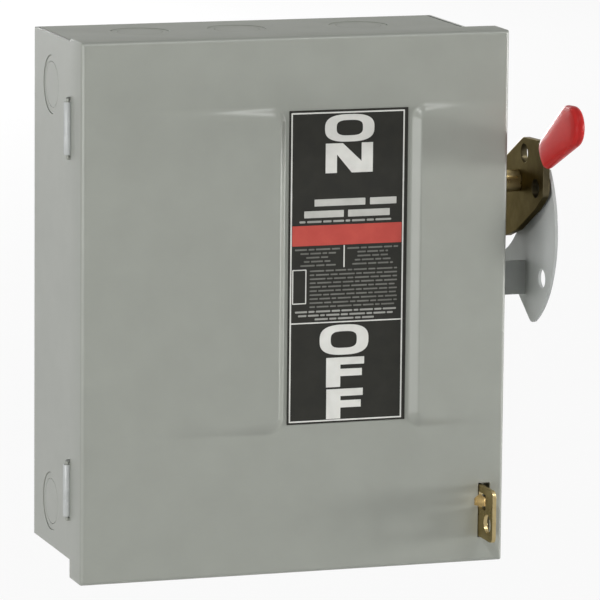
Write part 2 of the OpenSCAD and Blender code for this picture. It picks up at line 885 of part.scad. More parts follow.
// Operating shaft from the crank to its riveted head outside the lever
shoulder_x = right_out + bush_flange_t + shaft_gap;
module operating_shaft() {
  color(plated) {
    bar_x(crank_x, shaft_y, shaft_z, shaft_r, lever_far - crank_x);
    bar_x(shoulder_x, shaft_y, shaft_z, shoulder_r, lever_x - shoulder_x);
    bar_x(lever_far, shaft_y, shaft_z, rivet_head_r, rivet_head_t);
  }
}

// Flanged bushing in the right wall
module shaft_bushing() {
  color(black)
    difference() {
      union() {
        bar_x(right_in - bush_flange_t, shaft_y, shaft_z, bush_r, bush_flange_t + box_sheet);
        bar_x(right_in - bush_flange_t, shaft_y, shaft_z, bush_r + 2, bush_flange_t);
        bar_x(right_out, shaft_y, shaft_z, bush_r + 2, bush_flange_t);
      }
      bar_x(right_in - 2 * bush_flange_t, shaft_y, shaft_z, shaft_r + shaft_gap,
            4 * bush_flange_t + box_sheet);
    }
}

// Collar that takes the moving end of the spring
module shaft_collar() {
  color(plated)
    difference() {
      bar_x(collar_x, shaft_y, shaft_z, collar_r, collar_t);
      bar_x(collar_x - cut, shaft_y, shaft_z, shaft_r + fit, collar_t + 2 * cut);
    }
}

// Torsion spring wound round the shaft between the mechanism bracket and the collar
spring_x0 = frame_x + frame_t + spring_wire_r + fit;
spring_x1 = collar_x - spring_wire_r - fit;
spring_steps = 20;
spring_sides = 8;
function coil_point(i) =
  let (a = 360 * i / spring_steps)
  [spring_x0 + (spring_x1 - spring_x0) * i / (spring_steps * spring_turns),
   shaft_y + spring_r * cos(a), shaft_z + spring_r * sin(a)];
function coil_ring(i) =
  let (a = 360 * i / spring_steps)
  [for (k = [0 : spring_sides - 1])
    let (b = 360 * k / spring_sides)
    coil_point(i) + spring_wire_r * [sin(b), cos(b) * cos(a), cos(b) * sin(a)]];
module quick_break_spring() {
  n = spring_steps * spring_turns;
  m = spring_sides;
  points = [for (i = [0 : n]) each coil_ring(i)];
  sides = [
    for (i = [0 : n - 1], k = [0 : m - 1])
      [i * m + k, i * m + (k + 1) % m, (i + 1) * m + (k + 1) % m, (i + 1) * m + k]
  ];
  ends = [[for (k = [m - 1 : -1 : 0]) k], [for (k = [0 : m - 1]) n * m + k]];
  color(steel)
    polyhedron(points, concat(sides, ends));
}

// Crank on the inner end of the shaft
module crank() {
  eye_r = shaft_r + 3.5;
  color(steel)
    difference() {
      on_shaft(crank_x, crank_t)
        hull() {
          circle(r = eye_r, $fn = 32);
          rotate(crank_angle)
            translate([crank_r, 0])
              circle(r = crank_pin_r + 2, $fn = 32);
        }
      bar_x(crank_x - cut, shaft_y, shaft_z, shaft_r + fit, crank_t + 2 * cut);
      crank_pin_bar(crank_pin_r + fit);
    }
}

module crank_pin_bar(r) {
  y = shaft_y - crank_r * cos(crank_angle);
  z = shaft_z + crank_r * sin(crank_angle);
  bar_x(fork_x + fit, y, z, r, crank_x + crank_t - fork_x - fit);
}

module crank_pin() {
  color(steel)
    crank_pin_bar(crank_pin_r);
}

// Upright plate that carries the inner bearing, on a foot against the back wall
frame_screw_x = frame_x + frame_t + frame_foot / 2;
frame_screw_half = frame_w / 2 - frame_screw_inset;
frame_screw_zs = [shaft_z - frame_screw_half, shaft_z + frame_screw_half];
module mechanism_bracket() {
  color(steel)
    difference() {
      union() {
        facing_side(frame_x, frame_t)
          translate([shaft_y, shaft_z]) {
            circle(r = frame_w / 2);
            translate([0, -frame_w / 2])
              square([back_in - shaft_y, frame_w]);
          }
        block([frame_x, back_in - frame_t, shaft_z - frame_w / 2],
              [frame_x + frame_t + frame_foot, back_in, shaft_z + frame_w / 2]);
      }
      bar_x(frame_x - cut, shaft_y, shaft_z, shaft_r + shaft_gap, frame_t + 2 * cut);
      for (z = frame_screw_zs)
        bar_front(frame_screw_x, cut, z, base_screw_r + fit, box_sheet + frame_t + 2 * cut);
    }
}

module mechanism_screws() {
  color(steel)
    for (z = frame_screw_zs)
      front_screw(frame_screw_x, back_in - frame_t, z, base_screw_r, frame_t + box_sheet,
                  screw_head_r, screw_head_t);
}

// Padlock bracket: crescent plate beyond the lever, a leg to the box behind the lever's lowest
// place, and a foot on the wall
bracket_leg_y = shaft_y + bracket_leg_back;
bracket_rivet_places = [
  for (s = [0.25, 0.75])
    [bracket_leg_y + bracket_t + (bracket_foot - bracket_t) / 2,
     bracket_leg_z0 + s * bracket_leg_h]
];
module bracket_shape() {
  polygon(concat(
    arc(bracket_arc_c, bracket_arc_r, bracket_arc_angles[0], bracket_arc_angles[1], 24),
    arc(bracket_tip, bracket_tip_r, bracket_tip_angles[0], bracket_tip_angles[1], 6),
    [bracket_waist, bracket_tail_bottom, bracket_tail_top],
    arc(bracket_hollow_c, bracket_hollow_r, bracket_hollow_angles[0], bracket_hollow_angles[1], 14)
  ));
}
module padlock_bracket() {
  z0 = bracket_leg_z0;
  z1 = bracket_leg_z1;
  color(paint)
    difference() {
      union() {
        on_shaft(bracket_x, bracket_t)
          bracket_shape();
        block([right_out, bracket_leg_y, z0], [bracket_x + bracket_t, bracket_leg_y + bracket_t, z1]);
        block([right_out, bracket_leg_y, z0], [right_out + bracket_t, bracket_leg_y + bracket_foot, z1]);
      }
      bar_x(bracket_x - cut, shaft_y - bracket_hole[0], shaft_z + bracket_hole[1],
            bracket_hole_r, bracket_t + 2 * cut);
      for (p = bracket_rivet_places)
        bar_x(right_out - cut, p[0], p[1], rivet_r + fit, bracket_t + 2 * cut);
    }
}

module padlock_bracket_rivets() {
  color(paint)
    for (p = bracket_rivet_places)
      wall_rivet(p, right_in, right_out + bracket_t);
}

// Moulded base with feet, pedestals for the contacts and grooves for the barriers
barrier_xs = [for (i = [0, 1]) (poles[i] + poles[i + 1]) / 2];
groove = 3;
module switch_base() {
  line_z0 = jaw_z0 - 3;
  color(black)
    difference() {
      union() {
        block([base_x0, base_face, base_z0], [base_x1, base_back, base_z1]);
        for (x = base_hole_x, z = base_hole_z)
          bar_front(x, back_in, z, 5, base_foot);
        for (x = poles) {
          block([x - pedestal_w / 2, pedestal_y, line_z0], [x + pedestal_w / 2, base_face, base_z1]);
          block([x - pedestal_w / 2, pedestal_y, blade_clip_z0 - 1],
                [x + pedestal_w / 2, base_face, blade_clip_z1 + 1]);
        }
      }
      for (x = base_hole_x, z = base_hole_z)
        bar_front(x, cut, z, base_screw_r + fit, box_sheet + base_foot + base_t + 2 * cut);
      for (x = barrier_xs)
        block([x - barrier_t / 2 - fit, base_face - cut, base_z0 - cut],
              [x + barrier_t / 2 + fit, base_face + groove, base_z1 + cut]);
    }
}

module base_screws() {
  color(steel)
    for (x = base_hole_x, z = base_hole_z)
      front_screw(x, base_face, z, base_screw_r, base_t + base_foot + box_sheet,
                  screw_head_r, screw_head_t);
}

// Fibre sheets between the poles, low where the crossbar passes
module phase_barriers() {
  low = pedestal_y - 2;
  high = clip_front - 1;
  upper_z = crossbar_z + crossbar_s;
  color([0.30, 0.22, 0.18])
    for (x = barrier_xs) {
      block([x - barrier_t / 2, low, base_z0], [x + barrier_t / 2, base_face + groove, base_z1]);
      block([x - barrier_t / 2, high, upper_z], [x + barrier_t / 2, base_face + groove, base_z1]);
    }
}

// Copper clip: a strap on the pedestal and two leaves beside the blade
module blade_clip(x, z0, z1, strap_z0, strap_z1) {
  block([x - pedestal_w / 2 + 1, pedestal_y - clip_t, strap_z0],
        [x + pedestal_w / 2 - 1, pedestal_y, strap_z1]);
  for (s = [-1, 1])
    block([x + (s < 0 ? -clip_out : clip_in), clip_front, z0],
          [x + (s < 0 ? -clip_in : clip_out), pedestal_y - clip_t / 2, z1]);
}

module line_jaws() {
  color(copper)
    for (x = poles)
      blade_clip(x, jaw_z0, jaw_z1, jaw_z0, base_z1 - 1);
}

module blade_clips() {
  color(copper)
    for (x = poles)
      difference() {
        union() {
          blade_clip(x, blade_clip_z0, blade_clip_z1, blade_clip_z0, blade_clip_z1);
          // Strap down the pedestal and under the upper fuse clip
          block([x - pedestal_w / 2 + 1, pedestal_y - clip_t, blade_clip_z0 - 1 - clip_t],
                [x + pedestal_w / 2 - 1, base_face, blade_clip_z0 - 1]);
          block([x - pedestal_w / 2 + 1, pedestal_y - clip_t, blade_clip_z0 - 1 - clip_t],
                [x + pedestal_w / 2 - 1, pedestal_y, blade_clip_z0 + 1]);
          block([x - pedestal_w / 2 + 1, base_face - clip_t, fuse_clip_zs[0] - fuse_clip_w / 2],
                [x + pedestal_w / 2 - 1, base_face, blade_clip_z0 - 1]);
        }
        bar_x(x - pedestal_w, pivot_y, pivot_z, pivot_r + fit, 2 * pedestal_w);
      }
}

module blade_pivots() {
  half = clip_out + fit;
  head_t = 1;
  color(steel)
    for (x = poles) {
      bar_x(x - half, pivot_y, pivot_z, pivot_r, 2 * half);
      for (s = [-half - head_t, half])
        bar_x(x + s, pivot_y, pivot_z, pivot_r + 1.2, head_t);
    }
}

// Box lug on a strap, with a wire hole along Z and a screw hole from the front
module lug(x, y, z) {
  difference() {
    block([x - lug_w / 2, y - lug_w, z], [x + lug_w / 2, y, z + lug_h]);
    bar_z(x, y - lug_hole_r - 2.5, z - cut, lug_hole_r, lug_h + 2 * cut);
    bar_front(x, y - lug_hole_r, z + lug_h / 2, lug_screw_r + fit, lug_w);
  }
}

module lug_screw(x, y, z) {
  slot = lug_screw_r / 3;
  inset = 2.5 + 2 * lug_hole_r;
  difference() {
    bar_front(x, y - inset + 1, z + lug_h / 2, lug_screw_r, lug_w - inset);
    block([x - lug_w, y - lug_w - cut, z + lug_h / 2 - slot / 2],
          [x + lug_w, y - lug_w + 2 * slot, z + lug_h / 2 + slot / 2]);
  }
}

module line_lugs() {
  color(tin)
    for (x = poles)
      lug(x, pedestal_y - clip_t, line_lug_z);
}

module line_lug_screws() {
  color(steel)
    for (x = poles)
      lug_screw(x, pedestal_y - clip_t, line_lug_z);
}

module load_lugs() {
  color(tin)
    for (x = poles)
      lug(x, base_face - clip_t, load_lug_z);
}

module load_lug_screws() {
  color(steel)
    for (x = poles)
      lug_screw(x, base_face - clip_t, load_lug_z);
}

// Knife blades, drawn in the closed position
module contact_blades() {
  heel = blade_w / 2;
  color(copper)
    for (x = poles)
      difference() {
        union() {
          block([x - blade_t / 2, pivot_y - blade_w / 2, pivot_z],
                [x + blade_t / 2, pivot_y + blade_w / 2, pivot_z + blade_len]);
          bar_x(x - blade_t / 2, pivot_y, pivot_z, heel, blade_t);
        }
        bar_x(x - cut - blade_t, pivot_y, pivot_z, pivot_r + shaft_gap, 2 * blade_t + 2 * cut);
        bar_x(x - cut - blade_t, blade_rivet_y, crossbar_z, blade_rivet_r + fit, 2 * blade_t + 2 * cut);
      }
}

// Insulating crossbar that carries the blades in slots
blade_rivet_r = 1;
blade_rivet_y = pivot_y - blade_w / 2 + crossbar_slot / 2;
module crossbar() {
  color([0.55, 0.12, 0.10])
    difference() {
      block([crossbar_x0, crossbar_y - crossbar_s / 2, crossbar_z - crossbar_s / 2],
            [fork_x, crossbar_y + crossbar_s / 2, crossbar_z + crossbar_s / 2]);
      for (x = poles) {
        block([x - blade_t / 2 - fit, crossbar_y + crossbar_s / 2 - crossbar_slot, crossbar_z - crossbar_s],
              [x + blade_t / 2 + fit, crossbar_y + crossbar_s, crossbar_z + crossbar_s]);
        bar_x(x - 3 * blade_t, blade_rivet_y, crossbar_z, blade_rivet_r + fit, 6 * blade_t);
      }
    }
}

module blade_rivets() {
  color(steel)
    for (x = poles)
      bar_x(x - 3 * blade_t + fit, blade_rivet_y, crossbar_z, blade_rivet_r, 6 * blade_t - 2 * fit);
}

// Fork on the end of the crossbar, driven by the crank pin in its straight slot
module drive_fork() {
  slot_w = 2 * (crank_pin_r + fork_gap);
  root = 10;
  color(steel)
    translate([fork_x, pivot_y, pivot_z])
      rotate([90, 0, 90])
        linear_extrude(fork_t)
          mirror([1, 0])
            rotate(fork_angle)
              difference() {
                translate([root, -fork_w / 2])
                  square([fork_tip - root, fork_w]);
                translate([fork_root + slot_w / 2, -slot_w / 2])
                  square([fork_tip, slot_w]);
                translate([fork_root + slot_w / 2, 0])
                  circle(r = slot_w / 2);
              }
}

// Spring clips that grip a fuse's ferrules, open to the front
module fuse_clips() {
  mouth = 1.3 * ferrule_r;
  color(copper)
    for (x = poles, i = [0, 1]) {
      z = fuse_clip_zs[i] - fuse_clip_w / 2;
      // The upper clip stands on the blade clip's strap, the lower on the base
      seat = base_face - (i == 0 ? clip_t : 0);
      difference() {
        union() {
          bar_z(x, fuse_y, z, fuse_clip_r, fuse_clip_w);
          block([x - ferrule_r / 2, fuse_y + ferrule_r, z], [x + ferrule_r / 2, seat, z + fuse_clip_w]);
          if (i == 1)
            block([x - lug_w / 2, base_face - clip_t, load_lug_z],
                  [x + lug_w / 2, base_face, z + fuse_clip_w]);
        }
        bar_z(x, fuse_y, z - cut, ferrule_r + fit, fuse_clip_w + 2 * cut);
        block([x - mouth / 2, fuse_y - 2 * fuse_clip_r, z - cut],
              [x + mouth / 2, fuse_y, z + fuse_clip_w + cut]);
      }
    }
}

module fuse_tubes() {
  color([0.80, 0.74, 0.58])
    for (x = poles)
      bar_z(x, fuse_y, fuse_bottom + 1, fuse_tube_r, fuse_len - 2);
}

module fuse_ferrules() {
  color(copper)
    for (x = poles, i = [0, 1])
      difference() {
        bar_z(x, fuse_y, i == 0 ? fuse_top - ferrule_len : fuse_bottom, ferrule_r, ferrule_len);
        bar_z(x, fuse_y, fuse_bottom + 1 - fit, fuse_tube_r + fit, fuse_len - 2 + 2 * fit);
      }
}

module neutral_insulator() {
  color(black)
    difference() {
      block([neutral_x - neutral_w / 2, neutral_face, -neutral_h / 2],
            [neutral_x + neutral_w / 2, back_in, neutral_h / 2]);
      for (z = neutral_mount_zs)
        bar_front(neutral_x, cut, z, base_screw_r + fit, box_sheet + neutral_t + 2 * cut);
    }
}

module neutral_mounting_screws() {
  color(steel)
    for (z = neutral_mount_zs)
      front_screw(neutral_x, neutral_face, z, base_screw_r, neutral_t + box_sheet,
                  screw_head_r, screw_head_t);
}

// Terminal bar along its first screw axis, with wire holes under the screws
neutral_screw_zs = [for (i = [-2 : 2]) i * bar_pitch];
ground_screw_xs = [for (i = [-1 : 1]) ground_x + i * bar_pitch];
bar_hole_r = 2.2;
module neutral_bar() {
  half = 2 * bar_pitch + bar_w / 2;
  y = neutral_face - bar_t;
  color(tin)
    difference() {
      block([neutral_x - bar_w / 2, y, -half], [neutral_x + bar_w / 2, neutral_face, half]);
      for (z = neutral_screw_zs) {
        bar_x(neutral_x - bar_w, neutral_face - bar_hole_r - 1.2, z, bar_hole_r, 2 * bar_w);
        bar_front(neutral_x, neutral_face - bar_hole_r, z, bar_screw_r + fit, bar_t);
      }
    }
}

module bar_screw(x, y, z) {
  front_screw(x, y, z, bar_screw_r, bar_t - 2 * bar_hole_r - 1.2, bar_screw_r + 1.2, 2);
}

module neutral_screws() {
  color(steel)
    for (z = neutral_screw_zs)
      bar_screw(neutral_x, neutral_face - bar_t, z);
}

module ground_bar() {
  half = bar_pitch + bar_w / 2;
  y = back_in - bar_t;
  color(tin)
    difference() {
      block([ground_x - half, y, ground_z - bar_w / 2], [ground_x + half, back_in, ground_z + bar_w / 2]);
      for (x = ground_screw_xs) {
        bar_z(x, back_in - bar_hole_r - 1.2, ground_z - bar_w, bar_hole_r, 2 * bar_w);
        bar_front(x, back_in - bar_hole_r, ground_z, bar_screw_r + fit, bar_t);
      }
    }
}

module ground_screws() {
  color([0.30, 0.50, 0.28])
    for (x = ground_screw_xs)
      bar_screw(x, back_in - bar_t, ground_z);
}

back_box();
top_end_panel();
bottom_end_panel();
knockout_discs();
knockout_rings();
hinge_staples();
cover();
label_plate();
hasp();
hasp_rivets();
spring_catch();
lever();
grip();
operating_shaft();
shaft_bushing();
shaft_collar();
quick_break_spring();
crank();
crank_pin();
mechanism_bracket();
mechanism_screws();
padlock_bracket();
padlock_bracket_rivets();
switch_base();
base_screws();
phase_barriers();
line_jaws();
line_lugs();
line_lug_screws();
blade_clips();
blade_pivots();
contact_blades();
blade_rivets();
crossbar();
drive_fork();
fuse_clips();
fuse_tubes();
fuse_ferrules();
load_lugs();
load_lug_screws();
neutral_insulator();
neutral_mounting_screws();
neutral_bar();
neutral_screws();
ground_bar();
ground_screws();
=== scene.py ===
"""Safety switch box: hinged cover with a label, side handle, padlock bracket and hasp."""
import json
import math

import bmesh
import bpy
from mathutils import Matrix, Vector, geometry


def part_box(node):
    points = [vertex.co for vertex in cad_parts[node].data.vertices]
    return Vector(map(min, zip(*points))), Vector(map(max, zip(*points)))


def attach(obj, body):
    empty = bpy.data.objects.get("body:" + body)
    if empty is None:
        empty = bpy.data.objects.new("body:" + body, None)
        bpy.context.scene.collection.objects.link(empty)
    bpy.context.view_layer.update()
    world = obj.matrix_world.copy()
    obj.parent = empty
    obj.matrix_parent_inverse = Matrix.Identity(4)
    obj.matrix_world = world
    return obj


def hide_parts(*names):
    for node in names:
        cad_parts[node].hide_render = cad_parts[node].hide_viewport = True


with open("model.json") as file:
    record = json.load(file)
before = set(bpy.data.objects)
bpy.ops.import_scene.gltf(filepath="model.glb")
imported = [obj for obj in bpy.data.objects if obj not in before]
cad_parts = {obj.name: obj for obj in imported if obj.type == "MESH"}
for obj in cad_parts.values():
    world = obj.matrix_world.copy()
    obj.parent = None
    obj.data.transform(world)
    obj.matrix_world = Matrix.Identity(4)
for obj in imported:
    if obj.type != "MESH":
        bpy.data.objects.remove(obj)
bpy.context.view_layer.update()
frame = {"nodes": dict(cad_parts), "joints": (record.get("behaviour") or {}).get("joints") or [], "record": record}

nodes = frame["nodes"]
MM = 0.001

# Places read from the frame
joints = {joint["name"]: joint for joint in frame["joints"]}
label_lo, label_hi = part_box("label_plate")
cover_lo, cover_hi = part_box("cover")
box_lo, box_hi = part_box("back_box")
hasp_lo, hasp_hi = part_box("hasp")
catch_lo, catch_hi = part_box("spring_catch")
grip_lo, grip_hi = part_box("grip")
spring_lo, spring_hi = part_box("quick_break_spring")
HINGE = Vector(joints["cover_swing"]["pos_m"])
SHAFT = Vector(joints["handle_throw"]["pos_m"])
CATCH_ROOT = Vector(joints["catch_press"]["pos_m"])

# Cover sheet
COVER_SHEET = 1.2 * MM
COVER_GAP = 0.3 * MM
COVER_BEND = 2.2 * MM
COVER_LIP = 7 * MM
COVER_FLANGE = 19.4 * MM
CORNER_POWER = 6
CORNER_TURNS = (15, 27, 36, 45, 54, 63, 75)
BEND_TURNS = (15, 30, 45, 60, 75, 90)
COVER_FRONT = label_hi.y
COVER_REAR = COVER_FRONT + COVER_FLANGE
COVER_LEFT = box_lo.x - COVER_GAP - COVER_SHEET
COVER_RIGHT = cover_hi.x
COVER_BOTTOM = cover_lo.z
COVER_TOP = cover_hi.z

# Raised panels of the cover: outer edge, ridge and foot of each
RISE = COVER_FRONT - cover_lo.y
PANEL_OVER_LABEL = 1.6 * MM
PANEL_LENGTH = 159.6 * MM
PANEL_HIGH = label_hi.z + PANEL_OVER_LABEL
PANEL_LOW = PANEL_HIGH - PANEL_LENGTH
PANEL_END = 6.5 * MM
PANEL_CORNER = 7.5 * MM
PANEL_SOFT = 0.16
DOME_SOFT = 0.2
SLOPE_SOFT = 0.1
LABEL_MARGIN = 2 * MM
LEFT_EDGE_INSET = 23 * MM
RIGHT_EDGE_INSET = 3 * MM
LEFT_RUN = 3 * MM
RIGHT_RUN = 4 * MM
LEFT_FOOT = label_lo.x - LABEL_MARGIN
RIGHT_FOOT = label_hi.x + LABEL_MARGIN
LEFT_PANEL = (COVER_LEFT + LEFT_EDGE_INSET, LEFT_FOOT - LEFT_RUN, LEFT_FOOT)
RIGHT_PANEL = (COVER_RIGHT - RIGHT_EDGE_INSET, RIGHT_FOOT + RIGHT_RUN, RIGHT_FOOT)

# Grid of the cover's front: wide and close spacing, and the reach of the close zones
GRID_X = (2.0 * MM, 0.35 * MM)
GRID_Z = (2.4 * MM, 0.4 * MM)
FOLD_REACH = 2.4 * MM
END_REACH = 0.7 * PANEL_END

# Lip turned in along the cover's free edge
LIP_CORNER = 0.4 * MM
LIP_SHEET = COVER_SHEET - 0.1 * MM
LIP_ROUNDING = 0.3 * MM

# Slot in the cover for the hasp
SLOT_GAP = 0.7 * MM
SLOT_SIDE_GAP = 0.3 * MM
SLOT_WIDTH = 6.2 * MM
SLOT_LEFT = hasp_lo.x - SLOT_SIDE_GAP
SLOT = (SLOT_LEFT, hasp_lo.z - SLOT_GAP, SLOT_LEFT + SLOT_WIDTH, hasp_hi.z + SLOT_GAP)

# Rolled hinge knuckles
KNUCKLE_R = 2.05 * MM
KNUCKLE_BORE = 1.1 * MM
KNUCKLE_LENGTH = 25.5 * MM
KNUCKLE_ZS = (85.55 * MM, -91.45 * MM)
KNUCKLE_CURL = 290
KNUCKLE_STEPS = 28
KNUCKLE_ROUNDING = 0.15 * MM

# Handle grip: places along and across its axis and radii of its rounds, and its dipped edge
GRIP_ANGLE = math.radians(27.45)
GRIP_ROUNDS = (
    (41 * MM, 0, 8.1 * MM), (73.5 * MM, 1.4 * MM, 10.7 * MM), (78.5 * MM, -0.3 * MM, 10.2 * MM),
)
GRIP_START = 37 * MM
GRIP_SLANT = math.radians(11)
GRIP_THICK = grip_hi.x - grip_lo.x
GRIP_POINTS = 96
ROUND_STEPS = 120
RIM_STEP = 15
# Crown of its sides: inset from the outline and height
GRIP_CROWN = ((4.2 * MM, 0.21 * MM), (6.4 * MM, 0.35 * MM))

# Spring on the shaft
SPRING_TURNS = 5
SPRING_STEPS = 28
SPRING_WIRE = 0.9 * MM

# Smoothed edges: the angle in degrees above which an edge stays sharp
FLAT_CREASE = 35
FOLD_CREASE = 40
WIRE_CREASE = 50

# Axes of flat pieces: columns are the outline's u and v and the way it faces
FACING_FRONT = Matrix(((1, 0, 0), (0, 0, -1), (0, 1, 0)))
FACING_UP = Matrix.Identity(3)


def srgb(red, green, blue):
    """Linear colour of a screen colour given from 0 to 255."""
    def linear(value):
        value /= 255
        return value / 12.92 if value <= 0.04045 else ((value + 0.055) / 1.055) ** 2.4
    return (linear(red), linear(green), linear(blue), 1.0)


# Part of a noise's range that spreads the shades and the gloss, and the finer grain of the gloss
SHADE_LOW, SHADE_SPAN = 0.32, 0.36
GLOSS_LOW, GLOSS_HIGH = 0.3, 0.7
GLOSS_GRAIN = 2.3
# Layers of noise in the shades, the gloss and the relief
SHADE_DETAIL, GLOSS_DETAIL, RELIEF_DETAIL = 4, 3, 2


def finish(name, shades, grain, gloss, relief, metal=0.0, shine=0.5, rim=(1, 1, 1, 1),
           stretch=(1, 1, 1)):
    """Procedural surface: shades spread by noise, uneven gloss and a fine relief.

    shades are colours from low to high, grain is the noise's scale per metre, gloss is the
    lowest and highest roughness, relief is (scale per metre, depth in metres), shine is the
    strength of the mirror image on a surface that is no metal, rim is the tint of a grazing look
    and stretch scales the noise along each axis.
    """
    material = bpy.data.materials.new(name)
    material.use_nodes = True
    tree = material.node_tree
    shader = tree.nodes["Principled BSDF"]
    shader.inputs["Metallic"].default_value = metal
    shader.inputs["Specular IOR Level"].default_value = shine
    shader.inputs["Specular Tint"].default_value = rim
    place = tree.nodes.new("ShaderNodeTexCoord")
    mapping = tree.nodes.new("ShaderNodeMapping")
    mapping.inputs["Scale"].default_value = stretch
    tree.links.new(place.outputs["Object"], mapping.inputs["Vector"])

    def noise(scale, detail):
        node = tree.nodes.new("ShaderNodeTexNoise")
        node.inputs["Scale"].default_value = scale
        node.inputs["Detail"].default_value = detail
        tree.links.new(mapping.outputs["Vector"], node.inputs["Vector"])
        return node.outputs[0]

    ramp = tree.nodes.new("ShaderNodeValToRGB")
    stops = ramp.color_ramp.elements
    while len(stops) < len(shades):
        stops.new(0.5)
    for i, colour in enumerate(shades):
        stops[i].position = SHADE_LOW + SHADE_SPAN * i / (len(shades) - 1)
        stops[i].color = colour
    tree.links.new(noise(grain, SHADE_DETAIL), ramp.inputs["Fac"])
    tree.links.new(ramp.outputs["Color"], shader.inputs["Base Color"])

    spread = tree.nodes.new("ShaderNodeMapRange")
    spread.inputs["From Min"].default_value = GLOSS_LOW
    spread.inputs["From Max"].default_value = GLOSS_HIGH
    spread.inputs["To Min"].default_value = gloss[0]
    spread.inputs["To Max"].default_value = gloss[1]
    tree.links.new(noise(grain * GLOSS_GRAIN, GLOSS_DETAIL), spread.inputs["Value"])
    tree.links.new(spread.outputs["Result"], shader.inputs["Roughness"])

    bump = tree.nodes.new("ShaderNodeBump")
    bump.inputs["Distance"].default_value = relief[1]
    tree.links.new(noise(relief[0], RELIEF_DETAIL), bump.inputs["Height"])
    tree.links.new(bump.outputs["Normal"], shader.inputs["Normal"])
    return material


finishes = {
    "grey_paint": finish(
        "grey_paint", (srgb(152, 155, 147), srgb(154, 157, 149), srgb(156, 159, 151)),
        45, (0.32, 0.34), (900, 0.002 * MM), shine=0.45),
    "yellow_plating": finish(
        "yellow_plating", (srgb(160, 143, 102), srgb(172, 155, 114), srgb(186, 170, 130)),
        110, (0.26, 0.34), (1400, 0.01 * MM), metal=1.0, rim=srgb(226, 220, 200)),
    "red_vinyl": finish(
        "red_vinyl", (srgb(182, 42, 41), srgb(187, 46, 44), srgb(192, 50, 48)),
        90, (0.30, 0.34), (800, 0.008 * MM), shine=0.08),
    "label": finish(
        "label", (srgb(32, 32, 28), srgb(35, 35, 30), srgb(38, 38, 33)),
        120, (0.45, 0.55), (1500, 0.006 * MM), shine=0.25),
    "moulded_black": finish(
        "moulded_black", (srgb(30, 30, 31), srgb(36, 36, 37), srgb(42, 42, 42)),
        140, (0.42, 0.55), (1200, 0.03 * MM)),
    "fibre": finish(
        "fibre", (srgb(92, 66, 50), srgb(104, 76, 58), srgb(116, 86, 66)),
        220, (0.60, 0.75), (1800, 0.03 * MM), stretch=(1, 1, 0.3)),
    "red_moulding": finish(
        "red_moulding", (srgb(128, 44, 36), srgb(140, 50, 40), srgb(150, 58, 46)),
        140, (0.42, 0.52), (1200, 0.03 * MM)),
    "copper": finish(
        "copper", (srgb(168, 98, 66), srgb(190, 116, 80), srgb(208, 136, 96)),
        120, (0.24, 0.36), (1600, 0.01 * MM), metal=1.0),
    "fuse_tube": finish(
        "fuse_tube", (srgb(176, 158, 126), srgb(188, 170, 138), srgb(198, 182, 150)),
        160, (0.55, 0.70), (1500, 0.03 * MM), stretch=(1, 1, 0.3)),
    "tin_plate": finish(
        "tin_plate", (srgb(176, 177, 178), srgb(190, 191, 192), srgb(204, 205, 205)),
        150, (0.30, 0.42), (1500, 0.015 * MM), metal=1.0),
    "zinc_steel": finish(
        "zinc_steel", (srgb(150, 152, 156), srgb(168, 170, 174), srgb(184, 186, 190)),
        180, (0.28, 0.40), (1500, 0.015 * MM), metal=1.0),
    "green_screw": finish(
        "green_screw", (srgb(46, 110, 62), srgb(54, 124, 70), srgb(64, 138, 80)),
        160, (0.30, 0.42), (1400, 0.01 * MM), metal=0.7),
}
# Lighter, duller copy of the grey paint for faces that look up or down: painted light on the box's top and bottom
lit_end_paint = finish(
    "lit_end_paint", (srgb(168, 171, 162), srgb(171, 174, 165), srgb(174, 177, 168)),
    45, (0.48, 0.50), (900, 0.003 * MM), shine=0.08)
# Lighter copy of the grey paint for the padlock bracket: painted light that brightens it
bracket_lit_paint = finish(
    "bracket_lit_paint", (srgb(178, 181, 179), srgb(182, 185, 183), srgb(186, 189, 187)),
    45, (0.42, 0.45), (900, 0.003 * MM), shine=0.2)
# Darker grey for the staples' upper ends: painted shade of the slots they enter
staple_slot_shade = finish(
    "staple_slot_shade", (srgb(116, 118, 114), srgb(124, 126, 122), srgb(132, 134, 130)),
    140, (0.50, 0.60), (1400, 0.01 * MM), shine=0.2)
# Lighter, glossier copy of the grey paint for the knuckles: painted highlight
knuckle_highlight_paint = finish(
    "knuckle_highlight_paint", (srgb(182, 185, 184), srgb(188, 191, 190), srgb(194, 197, 196)),
    140, (0.24, 0.28), (1400, 0.004 * MM))
# Darker copy of the yellow plating for the lever: painted shade and painted dark reflections
lever_shaded_plating = finish(
    "lever_shaded_plating", (srgb(60, 54, 40), srgb(70, 64, 48), srgb(84, 77, 58)),
    110, (0.30, 0.38), (1400, 0.01 * MM), metal=1.0, rim=srgb(208, 200, 182))
# Paler, brighter copy of the yellow plating for the catch tongue: painted highlight
catch_highlight_plating = finish(
    "catch_highlight_plating", (srgb(214, 178, 116), srgb(228, 194, 132), srgb(240, 210, 152)),
    160, (0.22, 0.28), (1400, 0.01 * MM), metal=0.95)


def ink(name, shades, grain=120):
    """Finish of a print colour on the label."""
    return finish(name, shades, grain, (0.42, 0.52), (1500, 0.005 * MM))


print_white = ink("print_white", (srgb(214, 214, 208), srgb(222, 222, 216), srgb(228, 228, 222)))
print_light = ink("print_light", (srgb(184, 184, 178), srgb(192, 192, 186), srgb(198, 198, 192)))
print_grey = ink("print_grey", (srgb(150, 150, 144), srgb(158, 158, 152), srgb(166, 166, 160)))
print_dim = ink("print_dim", (srgb(96, 96, 90), srgb(104, 104, 98), srgb(112, 112, 106)))
print_red = ink("print_red", (srgb(176, 64, 54), srgb(182, 68, 58), srgb(188, 74, 62)), 110)


